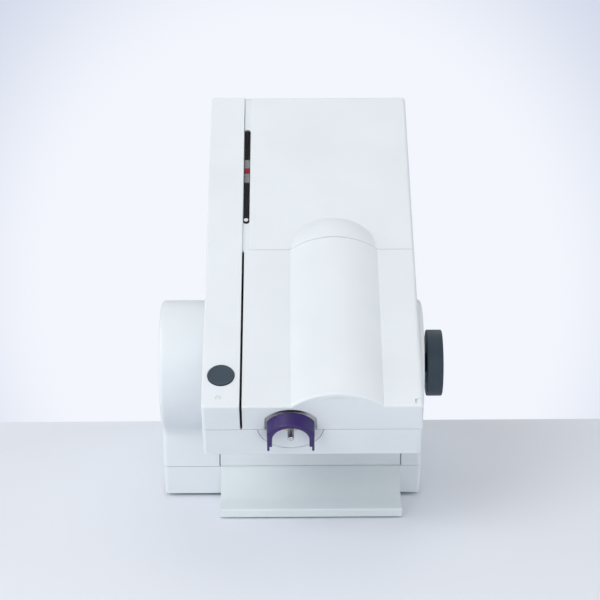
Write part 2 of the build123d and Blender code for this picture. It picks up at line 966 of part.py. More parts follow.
with BuildPart() as cover_hinge_pin:
    rod(across(ear_front), barrel_x, barrel_n, hinge_pin_radius, ear_front - rear_front - hinge_boss)
save(cover_hinge_pin, "cover_hinge_pin")

with BuildPart() as start_button:
    rod(level(button_proud), button_x, button_s, button_radius, -button_proud - wall - moving_gap)
    fillet(start_button.edges().sort_by(Axis((0, 0, 0), off_slope))[-1], radius=button_edge)
    rod(level(-wall - moving_gap), button_x, button_s, button_radius + button_lap, -button_flange)
    rod(level(-wall), button_x, button_s, button_stem_radius, wall - button_stem_drop)
save(start_button, "start_button")

with BuildPart() as control_board:
    block(level(-board_depth), wall, web_left, board_front, board_front + board_length, -board_thickness)
save(control_board, "control_board")

with BuildPart() as button_switch:
    with BuildSketch(level(-board_depth)):
        with Locations((button_x, button_s)):
            Rectangle(switch_size, switch_size)
    extrude(amount=board_depth - button_stem_drop - button_travel - moving_gap)
save(button_switch, "button_switch")

# ---------------------------------------------------------------- outlet seat and lever

with BuildPart() as tip_seat_plate:
    with BuildSketch(across(seat_back_face)):
        disc(seat_x, seat_n, seat_plate_radius)
        bar(*span(seat_x, 2 * seat_radius), seat_top_n, 0, mode=Mode.SUBTRACT)
    extrude(amount=-seat_thickness)
    with BuildSketch(across(wall)):
        disc(seat_x, seat_n, seat_radius + seat_flange)
        bar(
            *span(seat_x, 2 * seat_radius + 2 * seat_flange),
            tray_top,
            seat_n + seat_radius + seat_flange,
            mode=Mode.SUBTRACT,
        )
    extrude(amount=wall - seat_back_face - seat_thickness)
    with BuildSketch(across(seat_set_back)):
        disc(seat_x, seat_n, seat_plate_radius)
        bar(*span(seat_x, 2 * seat_radius), tray_top, 0, mode=Mode.SUBTRACT)
    extrude(amount=seat_set_back - seat_back_face)
    rod(across(seat_set_back), seat_x, seat_n, bush_radius, -bush_length, mode=Mode.SUBTRACT)
    block(
        across(lever_pivot_s),
        *span(seat_x, 2 * lever_tongue_half),
        *span(lever_pivot_n, 2 * lever_knuckle),
        lever_pivot_s - seat_back_face,
    )
    rod(
        beside(seat_x - lever_tongue_half),
        lever_pivot_s,
        lever_pivot_n,
        lever_knuckle,
        2 * lever_tongue_half,
    )
    rod(
        beside(seat_x - lever_tongue_half),
        lever_pivot_s,
        lever_pivot_n,
        lever_pin_radius,
        2 * lever_tongue_half,
        mode=Mode.SUBTRACT,
    )
save(tip_seat_plate, "tip_seat_plate")

with BuildPart() as shaft_bush:
    rod(across(seat_set_back), seat_x, seat_n, bush_radius, -bush_length)
    rod(
        across(seat_set_back),
        seat_x,
        seat_n,
        journal_radius + running_fit,
        -bush_length,
        mode=Mode.SUBTRACT,
    )
save(shaft_bush, "shaft_bush")

with BuildPart() as lever_pin:
    rod(beside(seat_x - lever_pin_half), lever_pivot_s, lever_pivot_n, lever_pin_radius, 2 * lever_pin_half)
save(lever_pin, "lever_pin")

with BuildPart() as locking_lever:
    with BuildSketch(across(-lever_stand_off)):
        disc(seat_x, seat_n, lever_outer)
        disc(seat_x, seat_n, lever_inner, mode=Mode.SUBTRACT)
        bar(*span(seat_x, 2 * lever_outer), seat_n - lever_outer, seat_n, mode=Mode.SUBTRACT)
        bar(seat_x - lever_outer, seat_x - lever_inner, seat_n - lever_leg_drop, seat_n)
        bar(seat_x + lever_inner, seat_x + lever_outer, seat_n - lever_leg_drop, seat_n)
        bar(seat_x - lever_outer, seat_x - lever_outer + lever_tab, seat_n - lever_tab_drop, seat_n)
        bar(seat_x + lever_outer - lever_tab, seat_x + lever_outer, seat_n - lever_tab_drop, seat_n)
    extrude(amount=lever_reach - lever_stand_off)
    nose_face = locking_lever.faces().sort_by(Axis((0, 0, 0), up_slope))[0]
    fillet(nose_face.edges().filter_by(GeomType.CIRCLE), radius=lever_edge)
    block(
        across(0),
        *span(seat_x, 2 * lever_tongue_half + 2 * moving_gap),
        seat_n,
        0,
        lever_knuckle + 2 * moving_gap - lever_pivot_s,
        mode=Mode.SUBTRACT,
    )
    rod(
        beside(seat_x - lever_pin_half - moving_gap),
        lever_pivot_s,
        lever_pivot_n,
        lever_pin_radius + running_fit,
        2 * lever_pin_half + 2 * moving_gap,
        mode=Mode.SUBTRACT,
    )
save(locking_lever, "locking_lever")

# ---------------------------------------------------------------- cartridge bay and plungers

with BuildPart() as cartridge_cradle:
    cradle_reach = cradle_front - cradle_back
    block(across(cradle_front), cradle_left, cradle_right, tray_floor, -cradle_top, cradle_reach)
    rod(across(cradle_front), bulge_x, -tube_depth, large_tube, cradle_reach, mode=Mode.SUBTRACT)
    rod(across(cradle_front), small_tube_x, -tube_depth, small_tube, cradle_reach, mode=Mode.SUBTRACT)
save(cartridge_cradle, "cartridge_cradle")

with BuildPart() as bay_bulkhead:
    with BuildSketch(across(bulkhead_s)):
        bar(wall, head_width - wall, tray_floor, -wall)
        for rack_x in (small_tube_x, bulge_x):
            bar(
                *span(rack_x, rack_width + 2 * moving_gap),
                rack_tip_n - moving_gap,
                moving_gap - rack_top,
                mode=Mode.SUBTRACT,
            )
        disc(seat_x, seat_n, journal_radius + moving_gap, mode=Mode.SUBTRACT)
        bar(opening_left, opening_right, tray_floor, -rack_top, mode=Mode.SUBTRACT)
        bar(strip_width, groove_right + wall, -groove_depth - groove_floor, 0, mode=Mode.SUBTRACT)
        bar(
            barrel_x - barrel_radius - boss_notch,
            head_width,
            flap_wall_top - boss_notch,
            0,
            mode=Mode.SUBTRACT,
        )
    extrude(amount=-bulkhead_thickness)
save(bay_bulkhead, "bay_bulkhead")

for plunger_name, plunger_x, plunger_radius in (
    ("large_plunger", bulge_x, large_plunger),
    ("small_plunger", small_tube_x, small_plunger),
):
    with BuildPart() as plunger:
        rod(across(rest_front), plunger_x, -tube_depth, plunger_radius, -plunger_thickness)
        chamfer(plunger.edges().filter_by(GeomType.CIRCLE), length=plunger_rim)
    save(plunger, plunger_name)

for rack_name, rack_x in (("large_rack", bulge_x), ("small_rack", small_tube_x)):
    with BuildPart() as rack:
        tooth_lean = tan(radians(pressure_angle))
        tooth_half = tooth_pitch / 4 - backlash / 4
        tooth_tip_half = tooth_half - tooth_top * gear_module * tooth_lean
        tooth_foot_half = tooth_half + tooth_foot * gear_module * tooth_lean
        rack_foot_n = rack_pitch_n + tooth_foot * gear_module
        block(across(rack_front), *span(rack_x, rack_width), rack_foot_n, -rack_top, -rack_length)
        with BuildSketch(beside(rack_x - rack_width / 2)):
            for tooth in range(rack_teeth):
                tooth_s = pinion_s + (tooth - rack_teeth_ahead - 0.5) * tooth_pitch
                with BuildLine():
                    Polyline(
                        (tooth_s - tooth_foot_half, rack_foot_n),
                        (tooth_s - tooth_tip_half, rack_tip_n),
                        (tooth_s + tooth_tip_half, rack_tip_n),
                        (tooth_s + tooth_foot_half, rack_foot_n),
                        close=True,
                    )
                make_face()
        extrude(amount=rack_width)
    save(rack, rack_name)

with BuildPart() as rack_yoke:
    block(
        level(-rack_top),
        small_tube_x - rack_width / 2,
        bulge_x + rack_width / 2,
        rack_back - yoke_length,
        rack_back,
        yoke_thickness,
    )
save(rack_yoke, "rack_yoke")

with BuildPart() as level_pointer:
    block(
        level(pointer_top - pointer_thickness),
        *span(window_x, pointer_width),
        *span(pointer_centre, pointer_length),
        pointer_thickness,
    )
    block(
        level(pointer_top - mark_thickness),
        *span(window_x, pointer_width),
        *span(pointer_centre, mark_length),
        mark_thickness,
        mode=Mode.SUBTRACT,
    )
    block(
        level(-rack_top),
        *span(window_x, pointer_stem),
        *span(pointer_centre, pointer_arm),
        rack_top + pointer_top - pointer_thickness,
    )
    block(
        level(-rack_top),
        window_x - pointer_stem / 2,
        small_tube_x + rack_width / 2,
        *span(pointer_centre, pointer_arm),
        pointer_arm_thickness,
    )
save(level_pointer, "level_pointer")

with BuildPart() as pointer_mark:
    block(
        level(pointer_top - mark_thickness),
        *span(window_x, pointer_width),
        *span(pointer_centre, mark_length),
        mark_thickness,
    )
save(pointer_mark, "pointer_mark")

# ---------------------------------------------------------------- gear train

with BuildPart() as gear_plate:
    with BuildSketch(upright(gear_plate_x)):
        with BuildLine():
            Polyline(
                (hub_y - gear_plate_half, pan_floor),
                (hub_y - gear_plate_half, pinion_z + gear_plate_margin),
                (hub_y + gear_plate_half, pinion_z + gear_plate_margin),
                (hub_y + gear_plate_half, hub_z + feed_motor_radius + gear_plate_rim),
                (motor_y + feed_motor_radius + gear_plate_rim, hub_z + feed_motor_radius + gear_plate_rim),
                (motor_y + feed_motor_radius + gear_plate_rim, pan_floor),
                close=True,
            )
        make_face()
        disc(pinion_y, pinion_z, gear_shaft_radius + gear_bush_wall, mode=Mode.SUBTRACT)
        disc(hub_y, upper_idler_z, gear_shaft_radius, mode=Mode.SUBTRACT)
        disc(hub_y, lower_idler_z, gear_shaft_radius, mode=Mode.SUBTRACT)
        disc(hub_y, hub_z, wheel_shaft_radius + gear_bush_wall, mode=Mode.SUBTRACT)
        disc(motor_y, hub_z, motor_boss, mode=Mode.SUBTRACT)
    extrude(amount=gear_plate_thickness)
save(gear_plate, "gear_plate")

with BuildPart() as bearing_plate:
    block(
        beside(bearing_plate_x),
        *span(pinion_s, 2 * bearing_plate_half),
        tray_floor,
        pinion_n + bearing_plate_half,
        gear_plate_thickness,
    )
    rod(
        beside(bearing_plate_x),
        pinion_s,
        pinion_n,
        gear_shaft_radius + gear_bush_wall,
        gear_plate_thickness,
        mode=Mode.SUBTRACT,
    )
save(bearing_plate, "bearing_plate")

with BuildPart() as pinion_bushes:
    for bush_x in (bearing_plate_x, gear_plate_x):
        rod(beside(bush_x), pinion_s, pinion_n, gear_shaft_radius + gear_bush_wall, gear_plate_thickness)
    rod(beside(0), pinion_s, pinion_n, gear_shaft_radius + running_fit, head_width, mode=Mode.SUBTRACT)
save(pinion_bushes, "pinion_bushes")

with BuildPart() as pinion_shaft:
    shaft_left = bearing_plate_x - gear_hub
    rod(beside(shaft_left), pinion_s, pinion_n, gear_shaft_radius, gear_end + gear_hub - shaft_left)
save(pinion_shaft, "pinion_shaft")

with BuildPart() as rack_pinions:
    for rack_x in (small_tube_x, bulge_x):
        gear(
            rack_x - pinion_face / 2,
            pinion_y,
            pinion_z,
            pinion_teeth,
            upward + tilt,
            pinion_face,
            gear_shaft_radius,
        )
save(rack_pinions, "rack_pinions")

with BuildPart() as upper_gear:
    gear(gear_x, pinion_y, pinion_z, train_teeth, -upward, gear_face, gear_shaft_radius)
save(upper_gear, "upper_gear")

with BuildPart() as upper_idler:
    gear(
        gear_x,
        hub_y,
        upper_idler_z,
        train_teeth,
        upward + half_tooth,
        gear_face,
        gear_shaft_radius + running_fit,
    )
save(upper_idler, "upper_idler")

with BuildPart() as lower_idler:
    gear(
        gear_x,
        hub_y,
        lower_idler_z,
        train_teeth,
        upward,
        gear_face,
        gear_shaft_radius + running_fit,
    )
save(lower_idler, "lower_idler")

with BuildPart() as idler_pins:
    for idler_z in (upper_idler_z, lower_idler_z):
        rod(
            upright(gear_plate_x),
            hub_y,
            idler_z,
            gear_shaft_radius,
            gear_end - gear_plate_x + idler_pin_end,
        )
save(idler_pins, "idler_pins")

with BuildPart() as lower_gear:
    gear(gear_x, hub_y, hub_z, train_teeth, upward + half_tooth, gear_face, wheel_shaft_radius)
save(lower_gear, "lower_gear")

with BuildPart() as wheel_shaft:
    axle_left = gear_plate_x - gear_hub
    axle_right = base_right + wheel_stand_off - head_left
    rod(upright(axle_left), hub_y, hub_z, wheel_shaft_radius, axle_right - axle_left)
save(wheel_shaft, "wheel_shaft")

with BuildPart() as wheel_bushes:
    rod(upright(gear_plate_x), hub_y, hub_z, wheel_shaft_radius + gear_bush_wall, gear_plate_thickness)
    rod(Plane.YZ.offset(base_right - wall), hub_y, hub_z, wheel_shaft_radius + gear_bush_wall, wall)
    rod(
        upright(0),
        hub_y,
        hub_z,
        wheel_shaft_radius + running_fit,
        base_right - head_left,
        mode=Mode.SUBTRACT,
    )
save(wheel_bushes, "wheel_bushes")

with BuildPart() as handwheel:
    wheel_left = base_right + wheel_stand_off
    rod(Plane.YZ.offset(wheel_left), hub_y, hub_z, wheel_radius, wheel_thickness)
    fillet(handwheel.edges().filter_by(GeomType.CIRCLE), radius=wheel_edge)
    rod(Plane.YZ.offset(base_right + moving_gap), hub_y, hub_z, wheel_collar, wheel_stand_off - moving_gap)
    rod(Plane.YZ.offset(base_right), hub_y, hub_z, wheel_shaft_radius, wheel_stand_off, mode=Mode.SUBTRACT)
save(handwheel, "handwheel")

with BuildPart() as feed_motor:
    rod(upright(gear_plate_x - feed_motor_length), motor_y, hub_z, feed_motor_radius, feed_motor_length)
    rod(
        upright(gear_plate_x - feed_motor_bore),
        motor_y,
        hub_z,
        motor_shaft_radius + running_fit,
        feed_motor_bore,
        mode=Mode.SUBTRACT,
    )
    chamfer(feed_motor.faces().sort_by(Axis.X)[0].edges(), length=wheel_edge)
save(feed_motor, "feed_motor")

with BuildPart() as motor_pinion:
    gear(gear_x, motor_y, hub_z, motor_teeth, 2 * upward, gear_face, motor_shaft_radius)
    rotor_left = gear_plate_x - feed_motor_bore + moving_gap
    rod(upright(rotor_left), motor_y, hub_z, motor_shaft_radius, gear_end - rotor_left)
save(motor_pinion, "motor_pinion")

# ---------------------------------------------------------------- mixing drive

with BuildPart() as drive_shaft:
    rod(across(-shaft_reach), seat_x, seat_n, shaft_radius, -shaft_reach)
    rod(across(0), seat_x, seat_n, journal_radius, -shaft_back)
    chamfer(drive_shaft.edges().filter_by(GeomType.CIRCLE).sort_by(Axis.Y)[0], length=shaft_bevel)
save(drive_shaft, "drive_shaft")

with BuildPart() as shaft_coupling:
    rod(across(coupling_front), seat_x, seat_n, coupling_radius, -coupling_length)
    output_back = gearbox_front + gearbox_bore - moving_gap
    rod(across(coupling_front), seat_x, seat_n, output_radius, coupling_front - output_back)
    rod(
        across(coupling_front),
        seat_x,
        seat_n,
        journal_radius,
        coupling_front - shaft_back,
        mode=Mode.SUBTRACT,
    )
save(shaft_coupling, "shaft_coupling")

with BuildPart() as mixer_gearbox:
    block(
        across(gearbox_front),
        *span(gearbox_x, gearbox_width),
        *span(gearbox_n, gearbox_height),
        -gearbox_length,
    )
    rod(
        across(gearbox_front),
        seat_x,
        seat_n,
        output_radius + running_fit,
        -gearbox_bore,
        mode=Mode.SUBTRACT,
    )
save(mixer_gearbox, "mixer_gearbox")

with BuildPart() as mixer_motor:
    rod(
        across(gearbox_front + gearbox_length),
        gearbox_x,
        gearbox_n,
        mixer_motor_radius,
        -mixer_motor_length,
    )
    chamfer(mixer_motor.edges().filter_by(GeomType.CIRCLE).sort_by(Axis.Y)[-1], length=wheel_edge)
save(mixer_motor, "mixer_motor")

with BuildPart() as motor_bracket:
    with BuildSketch(across(gearbox_front - bracket_thickness)):
        bar(*span(gearbox_x, gearbox_width), tray_floor, gearbox_n + gearbox_height / 2)
        disc(seat_x, seat_n, coupling_radius, mode=Mode.SUBTRACT)
    extrude(amount=-bracket_thickness)
    block(
        level(tray_floor),
        *span(gearbox_x, gearbox_width),
        gearbox_front,
        gearbox_front + bracket_foot,
        bracket_thickness,
    )
save(motor_bracket, "motor_bracket")

# ---------------------------------------------------------------- electrical pieces

with BuildPart() as transformer_core:
    block(
        Plane.XY.offset(pan_floor),
        transformer_x,
        transformer_x + transformer_width,
        transformer_y,
        transformer_y + transformer_depth,
        transformer_height,
    )
    block(
        Plane.XY.offset(pan_floor + winding_margin),
        transformer_x + winding_margin,
        transformer_x + transformer_width - winding_margin,
        transformer_y,
        transformer_y + transformer_depth,
        transformer_height - 2 * winding_margin,
        mode=Mode.SUBTRACT,
    )
save(transformer_core, "transformer_core")

with BuildPart() as transformer_winding:
    with BuildSketch(Plane.XY.offset(pan_floor + winding_margin)):
        with Locations((transformer_x + transformer_width / 2, transformer_y + transformer_depth / 2)):
            RectangleRounded(
                transformer_width - 2 * winding_margin,
                transformer_depth + 2 * winding_proud,
                winding_proud,
            )
    extrude(amount=transformer_height - 2 * winding_margin)
save(transformer_winding, "transformer_winding")

with BuildPart() as mains_inlet:
    with BuildSketch(Plane.XZ.offset(-base_back)):
        with Locations((inlet_x, inlet_z)):
            RectangleRounded(inlet_flange_width, inlet_flange_height, inlet_corner)
    extrude(amount=-inlet_flange)
    block(
        Plane.XZ.offset(-base_back),
        *span(inlet_x, inlet_width),
        *span(inlet_z, inlet_height),
        inlet_depth,
    )
    with BuildSketch(Plane.XZ.offset(-base_back - inlet_flange)):
        with BuildLine():
            half_width = socket_width / 2
            half_height = socket_height / 2
            Polyline(
                (inlet_x - half_width, inlet_z - half_height),
                (inlet_x - half_width, inlet_z + half_height - socket_bevel),
                (inlet_x - half_width + socket_bevel, inlet_z + half_height),
                (inlet_x + half_width - socket_bevel, inlet_z + half_height),
                (inlet_x + half_width, inlet_z + half_height - socket_bevel),
                (inlet_x + half_width, inlet_z - half_height),
                close=True,
            )
        make_face()
    extrude(amount=socket_depth, mode=Mode.SUBTRACT)
save(mains_inlet, "mains_inlet")

with BuildPart() as inlet_blades:
    with BuildSketch(Plane.XZ.offset(socket_depth - inlet_flange - base_back)):
        with Locations(
            (inlet_x - blade_pitch, inlet_z - blade_drop),
            (inlet_x, inlet_z + blade_drop),
            (inlet_x + blade_pitch, inlet_z - blade_drop),
        ):
            Rectangle(blade_thickness, blade_width)
    extrude(amount=-blade_length)
save(inlet_blades, "inlet_blades")

with BuildPart() as switch_frame:
    frame_x = span(rocker_x, 2 * rocker_frame_width)
    frame_z = span(inlet_z, 2 * rocker_frame_height)
    block(Plane.XZ.offset(-base_back), *frame_x, *frame_z, rocker_frame_depth)
    block(
        Plane.XZ.offset(-base_back),
        *inside(*frame_x, -rocker_rim),
        *inside(*frame_z, -rocker_rim),
        -rocker_frame_proud,
    )
    block(
        Plane.XZ.offset(-base_back - rocker_frame_proud),
        *inside(*frame_x, rocker_frame),
        *inside(*frame_z, rocker_frame),
        rocker_frame_proud + rocker_frame_depth - rocker_frame,
        mode=Mode.SUBTRACT,
    )
save(switch_frame, "switch_frame")

with BuildPart() as power_rocker:
    rocker_y = base_back - rocker_pivot_depth
    with BuildSketch(
        Plane(
            origin=(rocker_x - rocker_half_width, rocker_y, inlet_z),
            x_dir=(0, cos(radians(rocker_swing)), -sin(radians(rocker_swing))),
            z_dir=(1, 0, 0),
        )
    ):
        with BuildLine():
            Polyline(
                (0, -rocker_half_height),
                (rocker_pivot_depth + rocker_dish, -rocker_half_height),
                (rocker_pivot_depth, 0),
                (rocker_pivot_depth + rocker_dish, rocker_half_height),
                (0, rocker_half_height),
                (-rocker_depth, 0),
                close=True,
            )
        make_face()
    extrude(amount=2 * rocker_half_width)
save(power_rocker, "power_rocker")

# ---------------------------------------------------------------- fasteners

with BuildPart() as tray_screws:
    with BuildSketch(level(tray_floor)):
        with Locations(*tray_screw_places):
            Circle(screw_head_radius)
    extrude(amount=screw_head)
    with BuildSketch(level(tray_floor)):
        with Locations(*tray_screw_places):
            Circle(screw_radius)
    extrude(amount=-screw_length)
save(tray_screws, "tray_screws")

with BuildPart() as base_screws:
    with BuildSketch(Plane.XY.offset(foot_lift)):
        with Locations(*base_screw_places):
            Circle(screw_head_radius)
    extrude(amount=-screw_head)
    with BuildSketch(Plane.XY.offset(foot_lift)):
        with Locations(*base_screw_places):
            Circle(screw_radius)
    extrude(amount=screw_length)
save(base_screws, "base_screws")

with BuildPart() as panel_screws:
    with BuildSketch(Plane.XZ.offset(-base_back)):
        with Locations(*panel_screw_places):
            Circle(screw_head_radius)
    extrude(amount=-screw_head)
    with BuildSketch(Plane.XZ.offset(-base_back)):
        with Locations(*panel_screw_places):
            Circle(screw_radius)
    extrude(amount=screw_length)
save(panel_screws, "panel_screws")
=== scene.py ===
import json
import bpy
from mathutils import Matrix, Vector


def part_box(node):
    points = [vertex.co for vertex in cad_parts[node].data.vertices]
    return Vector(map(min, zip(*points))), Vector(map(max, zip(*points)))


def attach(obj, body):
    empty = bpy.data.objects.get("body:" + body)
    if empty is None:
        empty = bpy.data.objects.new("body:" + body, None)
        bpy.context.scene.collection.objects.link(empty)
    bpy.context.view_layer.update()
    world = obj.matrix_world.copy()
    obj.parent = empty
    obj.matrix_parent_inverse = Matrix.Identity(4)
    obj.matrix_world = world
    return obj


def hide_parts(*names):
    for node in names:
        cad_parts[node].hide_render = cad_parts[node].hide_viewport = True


bl_info = {
    "name": "Impression material mixer",
    "version": (1, 0, 0),
    "blender": (4, 5, 0),
    "location": "3D View > Sidebar > Mixer",
    "description": "Dresses the CAD frame of a bench-top impression material mixer for rendering",
    "category": "Object",
}

from math import acos, asin, atan2, cos, pi, radians, sin, sqrt

import bmesh
import bpy
from bpy.props import FloatProperty, FloatVectorProperty, PointerProperty
from mathutils import Matrix, Vector
from mathutils.bvhtree import BVHTree

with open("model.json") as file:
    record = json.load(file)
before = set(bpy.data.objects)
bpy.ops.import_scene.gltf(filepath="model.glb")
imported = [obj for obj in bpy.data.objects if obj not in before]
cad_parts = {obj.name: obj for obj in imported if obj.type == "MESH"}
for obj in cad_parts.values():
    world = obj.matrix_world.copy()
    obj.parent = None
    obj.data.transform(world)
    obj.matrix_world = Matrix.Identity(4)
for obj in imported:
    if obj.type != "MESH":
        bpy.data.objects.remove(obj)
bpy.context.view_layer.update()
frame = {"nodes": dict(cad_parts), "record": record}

MM = 0.001
TILT = radians(30)
UP_SLOPE = Vector((0, cos(TILT), sin(TILT)))
OFF_SLOPE = Vector((0, -sin(TILT), cos(TILT)))
ACROSS = Vector((1, 0, 0))
BULGE_HEIGHT = 14.5
CORNER_HEIGHT = 0.1385
# The head's front left top corner: places in the head are (x, s, n) from it, in millimetres.
HEAD_CORNER = Vector(
    (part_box("head_tray")[0].x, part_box("cartridge_cover")[0].y + BULGE_HEIGHT * sin(TILT) / 1000, CORNER_HEIGHT)
)
MERGE = 2e-6
POINTED = 1e-6
SHARP = radians(28)


def on_head(x, s, n):
    """The point at x across, s up the slope and n off the top of the head."""
    return HEAD_CORNER + (ACROSS * x + UP_SLOPE * s + OFF_SLOPE * n) * MM


def in_head(point):
    """A point's (x, s, n) in the head, in millimetres."""
    away = (point - HEAD_CORNER) / MM
    return away.x, away.dot(UP_SLOPE), away.dot(OFF_SLOPE)


# lamp: (name, place, side, watts)
LAMPS = (
    ("key", (-1.1, -1.5, 1.5), 1.2, 24.0),
    ("top", (0.2, 0.1, 2.0), 1.6, 4.0),
    ("front", (0.6, -2.0, 0.8), 1.4, 7.0),
    ("back", (0.0, 1.7, 1.6), 1.6, 6.0),
    ("left", (-1.9, 0.0, 0.9), 1.2, 9.0),
    ("right", (1.9, 0.0, 0.9), 1.2, 9.0),
)
WORLD_LIGHT = 0.35

# ---------------------------------------------------------------- sizes and colours

# slot: (label, colour, kind of surface, roughness)
FINISHES = {
    "white_shell": ("White shells", (0.765, 0.808, 0.842), "moulded", 0.42),
    "foot_shell": ("Foot plate", (0.735, 0.790, 0.815), "moulded", 0.45),
    "slate_plastic": ("Button and handwheel", (0.040, 0.062, 0.086), "moulded", 0.46),
    "purple_plastic": ("Locking lever", (0.022, 0.006, 0.105), "glossy", 0.40),
    "window_clear": ("Level window", (0.012, 0.013, 0.017), "clear", 0.12),
    "black_plastic": ("Black mouldings", (0.010, 0.010, 0.012), "moulded", 0.45),
    "pointer_grey": ("Level pointer", (0.700, 0.720, 0.780), "moulded", 0.48),
    "red_mark": ("Pointer band", (0.800, 0.030, 0.050), "moulded", 0.48),
    "light_lens": ("Status light", (0.700, 0.730, 0.760), "glossy", 0.22),
    "bay_plastic": ("Cartridge bay", (0.520, 0.530, 0.540), "moulded", 0.50),
    "plunger_plastic": ("Plungers", (0.680, 0.690, 0.700), "moulded", 0.45),
    "gear_plastic": ("Gears and racks", (0.780, 0.765, 0.700), "waxy", 0.38),
    "shaft_steel": ("Shafts and screws", (0.600, 0.610, 0.625), "turned", 0.24),
    "plate_steel": ("Plates and brackets", (0.560, 0.575, 0.590), "plated", 0.36),
    "bush_brass": ("Bushes and blades", (0.640, 0.480, 0.210), "turned", 0.30),
    "motor_case": ("Motor cases", (0.130, 0.140, 0.150), "painted", 0.42),
    "core_steel": ("Transformer core", (0.170, 0.160, 0.150), "painted", 0.50),
    "winding_tape": ("Transformer winding", (0.580, 0.400, 0.080), "taped", 0.40),
    "board_green": ("Circuit board", (0.020, 0.160, 0.060), "masked", 0.30),
    "foot_rubber": ("Rubber feet", (0.028, 0.028, 0.030), "rubber", 0.80),
}


class MixerColours(bpy.types.PropertyGroup):
    """Base colour of each finish"""

    __annotations__ = {
        slot: FloatVectorProperty(
            name=label,
            description=f"Base colour of the finish {slot}",
            default=colour,
            size=3,
            min=0,
            max=1,
            subtype="COLOR",
        )
        for slot, (label, colour, _, _) in FINISHES.items()
    }


def length(name, description, millimetres):
    """A length property with its default in millimetres."""
    return FloatProperty(
        name=name,
        description=description,
        default=millimetres * MM,
        min=0,
        subtype="DISTANCE",
        unit="LENGTH",
        precision=5,
    )


class MixerSizes(bpy.types.PropertyGroup):
    """Sizes of the details that the scene adds to the CAD frame"""

    edge: length("Shell edge", "Rounding of the shells' plain edges", 0.4)
    front_edge: length("Front edge", "Rounding along the front of the head's top", 1.5)
    lever_edge: length("Lever edge", "Rounding of the locking lever's inner edges", 0.5)
    lever_nose: length("Lever nose", "Rounding round the front of the locking lever", 1.8)
    fine_edge: length("Fine edge", "Rounding of small parts' edges", 0.15)
    button_dish: length("Button dish", "Depth of the hollow in the start button", 0.5)
    wheel_corner: length("Wheel corner", "Rounding of the handwheel's rims", 1.0)
    wheel_dish: length("Wheel dish", "Depth of the recess in the handwheel's outer face", 1.2)
    recess_width: length("Recess width", "Width of a screw's cross recess", 0.9)
    recess_depth: length("Recess depth", "Depth of a screw's cross recess", 0.8)
    floor_reach: FloatProperty(
        name="Floor reach",
        description="Half the side of the floor",
        default=9.0,
        min=1,
        subtype="DISTANCE",
        unit="LENGTH",
    )
    camera_place: FloatVectorProperty(
        name="Camera place",
        description="Where the camera stands",
        default=(-0.006142, -1.55026, 0.667905),
        subtype="TRANSLATION",
        unit="LENGTH",
        precision=5,
    )
    camera_turn: FloatVectorProperty(
        name="Camera turn",
        description="Pitch down, yaw and roll of the camera",
        default=(radians(17.788), radians(-0.176), radians(-0.263)),
        subtype="EULER",
        unit="ROTATION",
    )
    lens: FloatProperty(
        name="Lens", description="Focal length on a 36 mm sensor", default=119.80, min=1, unit="CAMERA"
    )


# ---------------------------------------------------------------- finishes


def adder(tree):
    """A function that adds a node to a tree with its settings and inputs."""

    def add(kind, settings=None, **inputs):
        node = tree.nodes.new(kind)
        for key, value in (settings or {}).items():
            setattr(node, key, value)
        for key, value in inputs.items():
            socket = node.inputs[key.replace("_", " ")]
            if isinstance(value, bpy.types.NodeSocket):
                tree.links.new(value, socket)
            else:
                socket.default_value = value
        return node

    return add


def nodes_of(material):
    """The material's node tree, its shader and a function that adds a node."""
    material.use_nodes = True
    tree = material.node_tree
    return tree, tree.nodes["Principled BSDF"], adder(tree)


def noise(add, place, scale, detail=2.0, stretch=(1, 1, 1)):
    """A noise value over object coordinates, stretched along an axis where asked."""
    mapped = add("ShaderNodeMapping", Vector=place.outputs["Object"], Scale=stretch)
    grain = add("ShaderNodeTexNoise", Vector=mapped.outputs["Vector"], Scale=scale, Detail=detail)
    return grain.outputs["Fac"]


def spread(add, value, low, high):
    """A noise value brought to the range from low to high."""
    ranged = add("ShaderNodeMapRange", Value=value, From_Min=0.3, From_Max=0.7, To_Min=low, To_Max=high)
    return ranged.outputs["Result"]


def reckon(add, operation, first, second=0.0):
    """The result of a math node on two values or numbers."""
    node = add("ShaderNodeMath", {"operation": operation})
    for socket, value in zip(node.inputs, (first, second)):
        if isinstance(value, bpy.types.NodeSocket):
            socket.id_data.links.new(value, socket)
        else:
            socket.default_value = value
    return node.outputs[0]


def tinted(add, mask, first, second):
    """A colour between two, by a mask."""
    blend = add("ShaderNodeMix", {"data_type": "RGBA"})
    blend.inputs["Factor"].default_value = 0
    blend.id_data.links.new(mask, blend.inputs["Factor"])
    blend.inputs["A"].default_value = (*first, 1)
    blend.inputs["B"].default_value = (*second, 1)
    return blend


# kind: (mottle scale, mottle, fine scale, relief mm, stretch, roughness spread, metallic)
SURFACES = {
    "moulded": (14, 0.030, 1500, 0.012, (1, 1, 1), 0.06, 0),
    "glossy": (20, 0.060, 700, 0.006, (1, 1, 1), 0.05, 0),
    "waxy": (30, 0.050, 900, 0.010, (1, 1, 1), 0.06, 0),
    "turned": (60, 0.050, 900, 0.004, (1, 1, 0.06), 0.10, 1),
    "plated": (45, 0.120, 1200, 0.006, (1, 1, 1), 0.12, 1),
    "painted": (40, 0.080, 900, 0.015, (1, 1, 1), 0.10, 0),
    "taped": (120, 0.120, 500, 0.040, (0.2, 0.2, 1), 0.10, 0),
    "masked": (90, 0.150, 1500, 0.010, (1, 1, 1), 0.10, 0),
    "rubber": (60, 0.150, 1800, 0.040, (1, 1, 1), 0.08, 0),
    "clear": (30, 0.030, 500, 0.003, (1, 1, 1), 0.04, 0),
}


